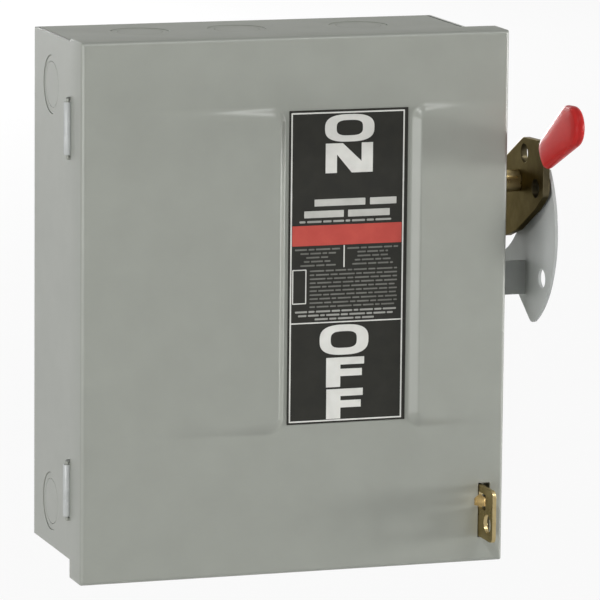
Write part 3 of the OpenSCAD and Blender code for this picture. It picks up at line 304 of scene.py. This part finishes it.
def add_piece(name, mesh, body, material, replaced=()):
    """Puts a mesh into the scene as a piece that moves with a CAD body."""
    obj = bpy.data.objects.new(name, mesh)
    bpy.context.scene.collection.objects.link(obj)
    mesh.materials.clear()
    mesh.materials.append(material)
    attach(obj, body)
    if replaced:
        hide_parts(*replaced)
    return obj


def paint_faces(obj, material, picked):
    """Gives a second material to the faces that a test picks."""
    obj.data.materials.append(material)
    for face in obj.data.polygons:
        face.material_index = 1 if picked(face) else 0


def shade(mesh, angle):
    """Smooth shading with sharp edges where faces meet at more than the angle."""
    mesh.shade_smooth()
    mesh.set_sharp_from_angle(angle=math.radians(angle))


def mesh_of(name, bm):
    """Mesh of a finished bmesh, which is freed."""
    mesh = bpy.data.meshes.new(name)
    bm.to_mesh(mesh)
    bm.free()
    return mesh


def settled(name, source):
    """Mesh of an object with its modifiers or curve bevel applied; the object is removed."""
    bpy.context.scene.collection.objects.link(source)
    graph = bpy.context.evaluated_depsgraph_get()
    mesh = bpy.data.meshes.new_from_object(source.evaluated_get(graph), depsgraph=graph)
    mesh.name = name
    bpy.data.objects.remove(source)
    return mesh


def plate(name, loops, axes, base, thickness, rounding=0.0):
    """Flat mesh from closed outlines, inner ones being holes, centred on base."""
    curve = bpy.data.curves.new(name, "CURVE")
    curve.dimensions = "2D"
    curve.fill_mode = "BOTH"
    curve.extrude = thickness / 2 - rounding
    curve.bevel_depth = rounding
    curve.bevel_resolution = 2
    curve.offset = -rounding
    for loop in loops:
        spline = curve.splines.new("POLY")
        spline.points.add(len(loop) - 1)
        for point, (u, v) in zip(spline.points, loop):
            point.co = (u, v, 0, 1)
        spline.use_cyclic_u = True
    mesh = settled(name, bpy.data.objects.new(name, curve))
    mesh.transform(Matrix.Translation(base) @ axes.to_4x4())
    shade(mesh, FLAT_CREASE)
    return mesh


def arc(centre, radius, start, end, steps):
    """Points on an arc, angles in degrees."""
    angles = [math.radians(start + (end - start) * i / steps) for i in range(steps + 1)]
    return [(centre[0] + radius * math.cos(a), centre[1] + radius * math.sin(a)) for a in angles]


def rounded_box(x0, z0, x1, z1, radius, steps=3):
    """Outline of a rectangle with rounded corners."""
    corners = ((x1 - radius, z1 - radius), (x0 + radius, z1 - radius),
               (x0 + radius, z0 + radius), (x1 - radius, z0 + radius))
    points = []
    for i, corner in enumerate(corners):
        points += arc(corner, radius, 90 * i, 90 * i + 90, steps)
    return points


# Cover: one grid for the front with the raised panels, rings round the bend, then the flanges

def soft_min(a, b, k):
    """Lower of two values, with a rounded change from one to the other."""
    t = max(k - abs(a - b), 0) / k
    return min(a, b) - t * t * k / 4


def soft_max(a, b, k):
    """Higher of two values, with a rounded change from one to the other."""
    return -soft_min(-a, -b, k)


def panel_rise(x, z, panel):
    """Height of a raised panel: a long slope to a ridge, a steep side and domed ends."""
    edge, ridge, foot = panel
    inward = 1 if ridge > foot else -1
    side, end = (x - foot) * inward, min(z - PANEL_LOW, PANEL_HIGH - z)
    to_side, to_end = max(PANEL_CORNER - side, 0), max(PANEL_CORNER - end, 0)
    depth = PANEL_CORNER - math.hypot(to_side, to_end)
    share = math.atan2(to_end, to_side) / (math.pi / 2)
    t = depth / (abs(ridge - foot) * (1 - share) + PANEL_END * share)
    straight = soft_min(soft_max(t, 0, PANEL_SOFT), 1, PANEL_SOFT)
    low = soft_max(t, 0, DOME_SOFT)
    domed = 1 - (1 - min(low, 1)) ** 2
    slope = soft_max(min((x - edge) / (ridge - edge), 1), 0, SLOPE_SOFT)
    return RISE * slope * (straight * (1 - share) + domed * share)


def grid_lines(marks, zones, wide, close):
    """Grid lines through every mark, closer together inside the zones."""
    lines = [marks[0]]
    for a, b in zip(marks, marks[1:]):
        middle = (a + b) / 2
        step = close if any(lo < middle < hi for lo, hi in zones) else wide
        count = max(1, round((b - a) / step))
        lines += [a + (b - a) * (i + 1) / count for i in range(count)]
    return lines


def around(values, spread):
    """Zones reaching a little to both sides of each value."""
    return [(v - spread, v + spread) for v in values]


def front_grid(bm):
    """Front of the cover with its panels, open at the hasp's slot; returns columns of vertices."""
    fold_xs = [RIGHT_PANEL[1], RIGHT_PANEL[2], LEFT_PANEL[1], LEFT_PANEL[2]]
    x_zones = around(fold_xs, FOLD_REACH)
    z_zones = around((PANEL_LOW + PANEL_END / 2, PANEL_HIGH - PANEL_END / 2), END_REACH)
    x_ends = (COVER_LEFT + COVER_BEND, COVER_RIGHT - COVER_BEND)
    z_ends = (COVER_BOTTOM + COVER_BEND, COVER_TOP - COVER_BEND)
    x_marks = sorted({*x_ends, SLOT[0], SLOT[2]} | {v for zone in x_zones for v in zone})
    z_marks = sorted({*z_ends, SLOT[1], SLOT[3]} | {v for zone in z_zones for v in zone})
    xs = grid_lines(x_marks, x_zones, *GRID_X)
    zs = grid_lines(z_marks, z_zones, *GRID_Z)
    grid = []
    for x in xs:
        column = []
        for z in zs:
            rise = panel_rise(x, z, LEFT_PANEL) + panel_rise(x, z, RIGHT_PANEL)
            column.append(bm.verts.new((x, COVER_FRONT - rise, z)))
        grid.append(column)
    for i in range(len(xs) - 1):
        for j in range(len(zs) - 1):
            x, z = (xs[i] + xs[i + 1]) / 2, (zs[j] + zs[j + 1]) / 2
            if not (SLOT[0] < x < SLOT[2] and SLOT[1] < z < SLOT[3]):
                bm.faces.new((grid[i][j], grid[i + 1][j], grid[i + 1][j + 1], grid[i][j + 1]))
    return grid


def border_spokes(grid):
    """Border vertices and the way each goes over the bend in degrees, turning at the corners."""
    last_i, last_j = len(grid) - 1, len(grid[0]) - 1
    sides = (
        [(grid[i][0], 270) for i in range(last_i + 1)],
        [(grid[last_i][j], 0) for j in range(last_j + 1)],
        [(grid[i][last_j], 90) for i in range(last_i, -1, -1)],
        [(grid[0][j], 180) for j in range(last_j, -1, -1)],
    )
    spokes = []
    for side in sides:
        spokes += side
        vert, angle = side[-1]
        spokes += [(vert, angle + turn) for turn in CORNER_TURNS]
    return spokes


def add_flanges(bm, spokes):
    """Rings of faces round the bend and along the flanges."""
    turns = [math.radians(a) for a in BEND_TURNS]
    depths = [(COVER_BEND * math.sin(a), COVER_FRONT + COVER_BEND * (1 - math.cos(a)))
              for a in turns]
    depths.append((COVER_BEND, COVER_REAR))
    rings = [[vert for vert, angle in spokes]]
    for out, y in depths:
        ring = []
        for vert, angle in spokes:
            c, s = math.cos(math.radians(angle)), math.sin(math.radians(angle))
            far = out / (abs(c) ** CORNER_POWER + abs(s) ** CORNER_POWER) ** (1 / CORNER_POWER)
            ring.append(bm.verts.new((vert.co.x + far * c, y, vert.co.z + far * s)))
        rings.append(ring)
    for outer, inner in zip(rings[1:], rings):
        for i in range(len(spokes)):
            k = (i + 1) % len(spokes)
            corners = [inner[i], outer[i], outer[k], inner[k]]
            if inner[i] is inner[k]:
                corners.pop()
            bm.faces.new(corners)


def cover_mesh():
    """Cover sheet: the front with its panels and slot, the bend and the four flanges."""
    bm = bmesh.new()
    add_flanges(bm, border_spokes(front_grid(bm)))
    bmesh.ops.recalc_face_normals(bm, faces=bm.faces)
    if bm.faces[0].normal.y > 0:
        bmesh.ops.reverse_faces(bm, faces=bm.faces)
    loose = [vert for vert in bm.verts if not vert.link_faces]
    bmesh.ops.delete(bm, geom=loose, context="VERTS")
    source = bpy.data.objects.new("cover_sheet", mesh_of("cover_sheet", bm))
    solid = source.modifiers.new("sheet", "SOLIDIFY")
    solid.thickness = COVER_SHEET
    solid.offset = -1
    solid.use_even_offset = True
    mesh = settled("cover_panel", source)
    shade(mesh, FOLD_CREASE)
    return mesh


# Faces that look this nearly up or down get the end panels' lighter, duller copy of the paint, painted light for
# the top and bottom
UPRIGHT = 0.95

cover = add_piece("cover_panel", cover_mesh(), "cover",
                  finishes["grey_paint"], ["cover"])
paint_faces(cover, lit_end_paint, lambda face: abs(face.normal.z) > UPRIGHT)


def knuckle_loop():
    """Section of a rolled knuckle: the flange runs past the wire and curls back round it."""
    side = COVER_LEFT - HINGE.x
    meet = math.degrees(math.acos(side / KNUCKLE_BORE))
    front = COVER_REAR - HINGE.y
    points = [(side, front)]
    points += arc((0, 0), KNUCKLE_BORE, -meet, KNUCKLE_CURL, KNUCKLE_STEPS)
    points += arc((0, 0), KNUCKLE_R, KNUCKLE_CURL, 0, KNUCKLE_STEPS)
    points.append((KNUCKLE_R, front))
    return points


# The knuckles take the lighter copy of the paint, a painted highlight
for number, z in enumerate(KNUCKLE_ZS, 1):
    place = Vector((HINGE.x, HINGE.y, z))
    add_piece(f"hinge_knuckle_{number}",
              plate("hinge_knuckle", [knuckle_loop()], FACING_UP, place, KNUCKLE_LENGTH,
                    KNUCKLE_ROUNDING),
              "cover", knuckle_highlight_paint)


def lip_outline():
    """Outline of the lip, seen from the front."""
    x0, x1 = COVER_RIGHT - COVER_LIP, COVER_RIGHT - COVER_SHEET / 2
    return rounded_box(x0, COVER_BOTTOM + COVER_BEND, x1, COVER_TOP - COVER_BEND, LIP_CORNER)


add_piece("cover_lip",
          plate("cover_lip", [lip_outline()], FACING_FRONT,
                Vector((0, COVER_REAR - COVER_SHEET / 2, 0)), LIP_SHEET, LIP_ROUNDING),
          "cover", finishes["grey_paint"])


# Label print, as thin films on the label plate; its outlines are in millimetres

FILM = 0.06 * MM
INK = Vector((0, label_lo.y - FILM / 2, 0))
OVAL_POINTS = 64
OUTER_POWER, INNER_POWER = 2.8, 3.2


def ring_letter(x0, z0, x1, z1, in_x0, in_z0, in_x1, in_z1):
    """Outer and inner outline of a squarish round letter."""
    def oval(a0, b0, a1, b1, power):
        points = []
        for i in range(OVAL_POINTS):
            angle = math.tau * i / OVAL_POINTS
            c, s = math.cos(angle), math.sin(angle)
            u = math.copysign(abs(c) ** (2 / power), c)
            v = math.copysign(abs(s) ** (2 / power), s)
            points.append(((a0 + a1) / 2 + u * (a1 - a0) / 2, (b0 + b1) / 2 + v * (b1 - b0) / 2))
        return points
    return [oval(x0, z0, x1, z1, OUTER_POWER), oval(in_x0, in_z0, in_x1, in_z1, INNER_POWER)]


def n_letter(x0, z0, x1, z1, bar):
    """Outline of a letter with two uprights and a slanting bar."""
    slant_top, slant_foot = 1.5 * bar, 1.85 * bar
    slant_z = 0.38 * (z1 - z0)
    return [[(x0, z0), (x0 + bar, z0), (x0 + bar, z1 - slant_z), (x1 - slant_foot, z0), (x1, z0),
             (x1, z1), (x1 - bar, z1), (x1 - bar, z0 + slant_z), (x0 + slant_top, z1), (x0, z1)]]


def f_letter(x0, z0, x1, z1, stem, bar, mid_x1, mid_z0, mid_z1):
    """Outline of a letter with a stem, a top bar and a middle bar."""
    return [[(x0, z0), (x0 + stem, z0), (x0 + stem, mid_z0), (mid_x1, mid_z0), (mid_x1, mid_z1),
             (x0 + stem, mid_z1), (x0 + stem, z1 - bar), (x1, z1 - bar), (x1, z1), (x0, z1)]]


def to_metres(loops):
    """The same outlines in metres."""
    return [[(u * MM, v * MM) for u, v in loop] for loop in loops]


def add_print(name, loops, material):
    """Thin film of ink on the label."""
    add_piece(name, plate(name, to_metres(loops), FACING_FRONT, INK, FILM),
              "cover", material)


add_print("label_on", ring_letter(17.6, 77.25, 42.8, 90.65, 23.5, 80.3, 36.95, 87.8)
          + n_letter(18.05, 62.1, 42.2, 76.6, 5.8), print_white)
add_print("label_off", ring_letter(15.9, -27.4, 41.0, -12.5, 21.6, -24.0, 35.0, -15.8)
          + f_letter(19.4, -43.3, 38.9, -28.7, 7.3, 3.6, 37.8, -38.0, -34.4)
          + f_letter(19.6, -59.0, 38.4, -44.3, 7.3, 3.6, 37.4, -53.6, -50.0), print_white)

BORDER = (0.45, -60.0, 58.4, 92.0)
BORDER_LINE = 0.7
LEAST_RADIUS = 0.1


def frame_loops(x0, z0, x1, z1, line, radius):
    """Outer and inner outline of a thin rectangular frame."""
    inner_radius = max(radius - line, LEAST_RADIUS)
    return [rounded_box(x0, z0, x1, z1, radius),
            rounded_box(x0 + line, z0 + line, x1 - line, z1 - line, inner_radius)]


add_print("label_border", frame_loops(*BORDER, BORDER_LINE, 0.3), print_white)
add_print("label_red_band", [rounded_box(1.4, 26.9, 57.4, 36.8, 0.3)], print_red)
add_print("label_picture_frame", frame_loops(1.6, -1.6, 8.8, 15.4, 0.5, 0.4), print_white)

# Bars in place of small print: lengths in turn, the least room for one more in a row, and the
# shift in the list from row to row
WORDS = (6.2, 3.1, 7.4, 4.3, 5.6, 2.4, 6.8, 3.7, 8.1, 2.9)
SHORTEST_WORD = 1.2
ROW_SHIFT = 3
WORD_GAP = 0.7
WORD_ROUNDING = 0.3


def row_of_bars(x0, x1, z, height, gap, first):
    """One row of thin bars of uneven lengths between x0 and x1."""
    loops, x, i = [], x0, first
    while x < x1 - SHORTEST_WORD:
        end = min(x + WORDS[i % len(WORDS)], x1)
        loops.append(rounded_box(x, z - height / 2, end, z + height / 2,
                                 height * WORD_ROUNDING, 1))
        x, i = end + gap, i + 1
    return loops


def block_of_bars(x0, x1, z_top, z_bottom, rows, height, first):
    """Rows of bars that fill a block."""
    loops = []
    for k in range(rows):
        z = z_top - (z_top - z_bottom) * (k + 0.5) / rows
        loops += row_of_bars(x0, x1, z, height, WORD_GAP, first + ROW_SHIFT * k)
    return loops


def centred_bars(x0, x1, z_top, z_bottom, shares, height):
    """Rows of bars centred between x0 and x1, each filling its share of the width."""
    loops, middle, half = [], (x0 + x1) / 2, (x1 - x0) / 2
    for k, share in enumerate(shares):
        z = z_top - (z_top - z_bottom) * (k + 0.5) / len(shares)
        x_left, x_right = middle - half * share, middle + half * share
        loops += row_of_bars(x_left, x_right, z, height, WORD_GAP, ROW_SHIFT * k)
    return loops


small_print = (
    centred_bars(2.6, 26.8, 26.0, 16.2, (0.98, 0.75, 0.5, 0.6, 0.75), 0.8)
    + centred_bars(29.6, 55.8, 26.0, 16.2, (1, 0.6, 0.6, 0.7, 0.8), 0.8)
    + block_of_bars(10.5, 55.4, 15.4, -4.2, 10, 0.75, 2)
)
closing_print = centred_bars(2.6, 55.6, -4.6, -10.3, (0.98, 0.92, 0.6), 0.9)
rules = [rounded_box(27.7, 15.8, 28.3, 26.6, 0.1, 1), rounded_box(1.1, -11.4, 57.8, -10.8, 0.1, 1)]
TITLE_HALF = 1.7
TITLE_CORNER = 0.25
TITLE_PLACES = (
    (12.6, 38.6, 47.8), (41.0, 54.6, 47.8), (7.4, 27.6, 42.2), (29.8, 51.2, 42.2),
)
title_bars = [rounded_box(x0, z - TITLE_HALF, x1, z + TITLE_HALF, TITLE_CORNER)
              for x0, x1, z in TITLE_PLACES]
add_print("label_small_print", small_print, print_dim)
add_print("label_closing_print",
          closing_print + row_of_bars(5.0, 54.0, 38.6, 1.0, 0.8, 1), print_grey)
add_print("label_rules", rules, print_white)
add_print("label_title_bars", title_bars, print_light)


# Grip: rounded slab round the lever's tongue

def hull_loop(rounds):
    """Outline round several circles."""
    points = []
    for along, across, radius in rounds:
        points += arc((along, across), radius, 0, 360, ROUND_STEPS)[:-1]
    corners = geometry.convex_hull_2d(points)
    return [points[i] for i in corners]


def evened(loop, count):
    """The same closed outline with evenly spaced points."""
    sides = list(zip(loop, loop[1:] + loop[:1]))
    lengths = [math.dist(a, b) for a, b in sides]
    step, points, k, passed = sum(lengths) / count, [], 0, 0.0
    for i in range(count):
        while passed + lengths[k] < i * step:
            passed += lengths[k]
            k += 1
        (ax, ay), (bx, by) = sides[k]
        t = (i * step - passed) / lengths[k]
        points.append((ax + (bx - ax) * t, ay + (by - ay) * t))
    return points


def grip_mesh():
    """Dipped grip: a slab with a round rim and slightly crowned sides, cut at its slanting end."""
    half = GRIP_THICK / 2
    rim = [(half * (1 - math.cos(math.radians(a))), half * math.sin(math.radians(a)))
           for a in range(-90, 91, RIM_STEP)]
    inner = [(inset, half + crown) for inset, crown in GRIP_CROWN]
    profile = [(d, -w) for d, w in reversed(inner)] + rim + inner

    bm = bmesh.new()
    outline = evened(hull_loop(GRIP_ROUNDS), GRIP_POINTS)
    rings = []
    for inset, w in profile:
        loop = []
        for i, (u, v) in enumerate(outline):
            (pu, pv), (nu, nv) = outline[i - 1], outline[(i + 1) % GRIP_POINTS]
            along = Vector((nu - pu, nv - pv)).normalized()
            loop.append((u - along.y * inset, v + along.x * inset))
        rings.append([bm.verts.new((u, v, w)) for u, v in loop])
    for low, high in zip(rings, rings[1:]):
        for i in range(GRIP_POINTS):
            k = (i + 1) % GRIP_POINTS
            bm.faces.new((low[i], low[k], high[k], high[i]))
    bm.faces.new(rings[0][::-1])
    bm.faces.new(rings[-1])
    cut_at = Vector((GRIP_START, 0, 0))
    cut_way = Vector((math.cos(GRIP_SLANT), math.sin(GRIP_SLANT), 0))
    whole = bm.verts[:] + bm.edges[:] + bm.faces[:]
    bmesh.ops.bisect_plane(bm, geom=whole, plane_co=cut_at, plane_no=cut_way, clear_inner=True)
    open_edges = [edge for edge in bm.edges if edge.is_boundary]
    bmesh.ops.holes_fill(bm, edges=open_edges)
    bmesh.ops.recalc_face_normals(bm, faces=bm.faces)
    mesh = mesh_of("grip_dip", bm)
    forward = Vector((0, -math.cos(GRIP_ANGLE), math.sin(GRIP_ANGLE)))
    upward = Vector((0, math.sin(GRIP_ANGLE), math.cos(GRIP_ANGLE)))
    facing = forward.cross(upward)
    axes = Matrix((forward, upward, facing)).transposed()
    middle = Vector(((grip_lo.x + grip_hi.x) / 2, SHAFT.y, SHAFT.z))
    mesh.transform(Matrix.Translation(middle) @ axes.to_4x4())
    shade(mesh, FOLD_CREASE)
    return mesh


add_piece("grip_dip", grip_mesh(), "handle", finishes["red_vinyl"], ["grip"])


# Spring tongue: lanced out of the hasp and folded, so that its lower half faces the front

TONGUE_SHEET = 0.8 * MM
TONGUE_EDGE = 0.12 * MM
TONGUE_STEPS = 6
# Shorter than the CAD catch, to clear the end of the hasp's window when pressed
TONGUE_SHORT = 0.3 * MM
# How far the upper and the lower edge bow to the front
UPPER_BOW, LOWER_BOW = 0.5 * MM, 0.3 * MM
# Insets of root and tip from the CAD catch's top and bottom
ROOT_UNDER_TOP, ROOT_OVER_BOTTOM = 1.2 * MM, 1.6 * MM
TIP_UNDER_TOP, TIP_OVER_BOTTOM = 2.6 * MM, 0.8 * MM
# Upper end of the root before the lower one, and the shoulder of the fold
ROOT_FORWARD = 0.6 * MM
SHOULDER_OUT, SHOULDER_FORWARD = 0.5 * MM, 2.2 * MM


def tongue_mesh():
    """Folded spring tongue from its root in the hasp to its tip in front of the cover."""
    root_y = CATCH_ROOT.y
    side = hasp_lo.x
    tip_x, tip_y = catch_lo.x, catch_hi.y - TONGUE_SHORT
    top, bottom = catch_hi.z, catch_lo.z
    root_high = Vector((side, root_y - ROOT_FORWARD, top - ROOT_UNDER_TOP))
    root_low = Vector((side, root_y, bottom + ROOT_OVER_BOTTOM))
    tip_high = Vector((tip_x, tip_y, top - TIP_UNDER_TOP))
    tip_low = Vector((tip_x, tip_y, bottom + TIP_OVER_BOTTOM))
    shoulder = Vector((side - SHOULDER_OUT, tip_y - SHOULDER_FORWARD, top))
    bm = bmesh.new()
    rows = []
    for root, tip, bow in ((root_high, tip_high, UPPER_BOW), (root_low, tip_low, LOWER_BOW)):
        row = []
        for i in range(TONGUE_STEPS + 1):
            t = i / TONGUE_STEPS
            point = root.lerp(tip, t)
            point.y -= bow * math.sin(math.pi * t)
            row.append(bm.verts.new(point))
        rows.append(row)
    peak = bm.verts.new(shoulder)
    for i in range(TONGUE_STEPS):
        bm.faces.new((rows[0][i], rows[1][i], rows[1][i + 1], rows[0][i + 1]))
        bm.faces.new((peak, rows[0][i], rows[0][i + 1]))
    bmesh.ops.recalc_face_normals(bm, faces=bm.faces)
    if sum(face.normal.x for face in bm.faces) > 0:
        bmesh.ops.reverse_faces(bm, faces=bm.faces)
    source = bpy.data.objects.new("catch_tongue", mesh_of("catch_tongue", bm))
    solid = source.modifiers.new("sheet", "SOLIDIFY")
    solid.thickness = TONGUE_SHEET
    solid.offset = -1
    edge = source.modifiers.new("edge", "BEVEL")
    edge.width = TONGUE_EDGE
    edge.segments = 2
    edge.limit_method = "ANGLE"
    edge.angle_limit = math.radians(FOLD_CREASE)
    mesh = settled("catch_tongue", source)
    shade(mesh, FOLD_CREASE)
    return mesh


# The tongue takes the paler plating, a painted highlight
add_piece("catch_tongue", tongue_mesh(), "catch", catch_highlight_plating,
          ["spring_catch"])


def spring_mesh():
    """Spring of round wire wound on the shaft."""
    curve = bpy.data.curves.new("spring_wire", "CURVE")
    curve.dimensions = "3D"
    curve.bevel_depth = SPRING_WIRE
    curve.bevel_resolution = 3
    curve.use_fill_caps = True
    radius = (spring_hi.z - spring_lo.z) / 2 - SPRING_WIRE
    start, end = spring_lo.x + SPRING_WIRE, spring_hi.x - SPRING_WIRE
    steps = SPRING_STEPS * SPRING_TURNS
    spline = curve.splines.new("POLY")
    spline.points.add(steps)
    for i, point in enumerate(spline.points):
        turn = math.tau * SPRING_TURNS * i / steps
        point.co = (start + (end - start) * i / steps,
                    SHAFT.y + radius * math.cos(turn), SHAFT.z + radius * math.sin(turn), 1)
    mesh = settled("spring_coil", bpy.data.objects.new("spring_coil", curve))
    shade(mesh, WIRE_CREASE)
    return mesh


add_piece("spring_coil", spring_mesh(), "enclosure", finishes["zinc_steel"],
          ["quick_break_spring"])


# CAD nodes that stay: finish by slot and slightly rounded edges

WELD_DISTANCE = 0.001 * MM
FLAT_ANGLE = 0.5
EDGE_ANGLE = 32
EDGE = 0.25 * MM
EDGES = {
    "lever": 0.55 * MM, "hasp": 0.35 * MM, "padlock_bracket": 0.4 * MM, "back_box": 0.4 * MM,
    "top_end_panel": 0.7 * MM, "bottom_end_panel": 0.7 * MM, "label_plate": 0.1 * MM,
    "knockout_discs": 0.1 * MM, "knockout_rings": 0.1 * MM, "switch_base": 0.6 * MM,
    "crossbar": 0.8 * MM, "hinge_staples": 0.05 * MM,
}


def soften(obj, width):
    """Joins the faces of a CAD node and rounds its edges."""
    mesh = obj.data
    if "custom_normal" in mesh.attributes:
        mesh.attributes.remove(mesh.attributes["custom_normal"])
    mesh.shade_smooth()
    weld = obj.modifiers.new("weld", "WELD")
    weld.merge_threshold = WELD_DISTANCE
    flat = obj.modifiers.new("flat", "DECIMATE")
    flat.decimate_type = "DISSOLVE"
    flat.angle_limit = math.radians(FLAT_ANGLE)
    edges = obj.modifiers.new("edges", "BEVEL")
    edges.width = width
    edges.segments = 2
    edges.limit_method = "ANGLE"
    edges.angle_limit = math.radians(EDGE_ANGLE)
    obj.modifiers.new("normals", "WEIGHTED_NORMAL").keep_sharp = True


# Own finishes: the lighter paint copies on the end panels and the bracket are painted light, and the lever's
# darker plating is painted shade
OWN_FINISHES = {
    "top_end_panel": lit_end_paint, "bottom_end_panel": lit_end_paint, "lever": lever_shaded_plating,
    "padlock_bracket": bracket_lit_paint,
}
# Knockout faces this near to the box's ends get the end panels' lighter copy of the paint, painted light for the
# top and bottom
END_DEPTH = 3 * MM


def is_shaded_staple_end(node, face):
    """Whether a face is just above one of the knuckles, where the slot's shade is painted."""
    z = (node.matrix_world @ face.center).z
    return any(0 < z - middle - KNUCKLE_LENGTH / 2 < KNUCKLE_R * 2 for middle in KNUCKLE_ZS)


def is_at_box_end(node, face):
    """Whether a face is at the top or bottom of the box."""
    return abs((node.matrix_world @ face.center).z) > box_hi.z - END_DEPTH


for entry in frame["record"]["subparts"]:
    node = nodes[entry["node"]]
    node.data.materials.clear()
    node.data.materials.append(OWN_FINISHES.get(node.name, finishes[entry["material_slot"]]))
    # The staples' upper ends take the darker grey, painted shade of their slots
    if node.name == "hinge_staples":
        paint_faces(node, staple_slot_shade, lambda face: is_shaded_staple_end(node, face))
    if node.name in ("knockout_discs", "knockout_rings"):
        paint_faces(node, lit_end_paint, lambda face: is_at_box_end(node, face))
    if not node.hide_render:
        soften(node, EDGES.get(node.name, EDGE))


# Floor, world and lamps

FLOOR_DROP = 150 * MM
FLOOR_SIZE = 6
FLOOR_CELLS = 8
FLOOR_WHITE = 0.9
WORLD_LEVEL = 0.05
# Name, azimuth and elevation in degrees, distance, width and height in metres, and watts
LAMPS = (
    ("key_lamp", 38, 40, 4, (0.3, 0.3), 42),
    ("left_lamp", 61, -4, 2, (1.5, 0.28), 15),
    ("right_lamp", -76, 0, 3, (0.8, 0.55), 62),
    ("top_lamp", -27, 50, 4, (0.8, 0.4), 34),
    ("back_lamp", 180, 4, 4, (1.2, 1.2), 80),
)


def white_to_camera(tree, surface, output, white_type, white_share):
    """Shows a share of plain white to the camera and to mirrors, the surface to other rays."""
    path = tree.nodes.new("ShaderNodeLightPath")
    seen = tree.nodes.new("ShaderNodeMath")
    seen.operation = "MAXIMUM"
    tree.links.new(path.outputs["Is Camera Ray"], seen.inputs[0])
    tree.links.new(path.outputs["Is Glossy Ray"], seen.inputs[1])
    either = tree.nodes.new("ShaderNodeMath")
    either.operation = "MAXIMUM"
    tree.links.new(seen.outputs[0], either.inputs[0])
    tree.links.new(path.outputs["Is Transmission Ray"], either.inputs[1])
    share = tree.nodes.new("ShaderNodeMath")
    share.operation = "MULTIPLY"
    share.inputs[1].default_value = white_share
    tree.links.new(either.outputs[0], share.inputs[0])
    white = tree.nodes.new(white_type)
    white.inputs["Color"].default_value = (1, 1, 1, 1)
    white.inputs["Strength"].default_value = 1.0
    mix = tree.nodes.new("ShaderNodeMixShader")
    tree.links.new(share.outputs[0], mix.inputs["Fac"])
    tree.links.new(surface, mix.inputs[1])
    tree.links.new(white.outputs[0], mix.inputs[2])
    tree.links.new(mix.outputs[0], output)


def add_floor():
    """Plain pale floor some way below the box."""
    bm = bmesh.new()
    bmesh.ops.create_grid(bm, x_segments=FLOOR_CELLS, y_segments=FLOOR_CELLS, size=FLOOR_SIZE)
    mesh = mesh_of("floor", bm)
    floor = bpy.data.objects.new("floor", mesh)
    floor.location = (0, 0, COVER_BOTTOM - FLOOR_DROP)
    bpy.context.scene.collection.objects.link(floor)
    material = finish("floor", (srgb(240, 240, 240), srgb(243, 243, 243), srgb(246, 246, 246)),
                      6, (0.75, 0.85), (40, 0.02 * MM))
    tree = material.node_tree
    white_to_camera(tree, tree.nodes["Principled BSDF"].outputs[0],
                    tree.nodes["Material Output"].inputs["Surface"], "ShaderNodeEmission",
                    FLOOR_WHITE)
    mesh.materials.append(material)


def add_world(level):
    """White surroundings that light the object at the given level."""
    world = bpy.data.worlds.new("studio")
    world.use_nodes = True
    tree = world.node_tree
    ambient = tree.nodes["Background"]
    ambient.inputs["Color"].default_value = (1, 1, 1, 1)
    ambient.inputs["Strength"].default_value = level
    white_to_camera(tree, ambient.outputs[0], tree.nodes["World Output"].inputs["Surface"],
                    "ShaderNodeBackground", 1.0)
    bpy.context.scene.world = world


def add_lamp(name, azimuth, elevation, distance, size, power):
    """Rectangular area lamp aimed at the object; azimuth is to the left of the front."""
    lamp = bpy.data.lights.new(name, "AREA")
    lamp.shape = "RECTANGLE"
    lamp.size, lamp.size_y = size
    lamp.energy = power
    obj = bpy.data.objects.new(name, lamp)
    a, e = math.radians(azimuth), math.radians(elevation)
    way = Vector((-math.sin(a) * math.cos(e), -math.cos(a) * math.cos(e), math.sin(e)))
    obj.location = way * distance
    obj.rotation_euler = way.to_track_quat("Z", "Y").to_euler()
    bpy.context.scene.collection.objects.link(obj)


add_floor()
add_world(WORLD_LEVEL)
for lamp_values in LAMPS:
    add_lamp(*lamp_values)


# Camera

CAMERA_PLACE = Vector((-800.9, -2496.6, 433.9)) * MM
CAMERA_RIGHT = Vector((0.94868, -0.31610, 0.00945))
CAMERA_UP = Vector((0.04434, 0.16255, 0.98570))
CAMERA_LENS = 318.85
CAMERA_SENSOR = 36

camera = bpy.data.objects.new("camera", bpy.data.cameras.new("camera"))
camera.data.lens = CAMERA_LENS
camera.data.sensor_width = CAMERA_SENSOR
axes = Matrix((CAMERA_RIGHT, CAMERA_UP, CAMERA_RIGHT.cross(CAMERA_UP))).transposed()
camera.matrix_world = Matrix.Translation(CAMERA_PLACE) @ axes.to_4x4()
bpy.context.scene.collection.objects.link(camera)
bpy.context.scene.camera = camera
bpy.context.scene.view_settings.view_transform = "Standard"
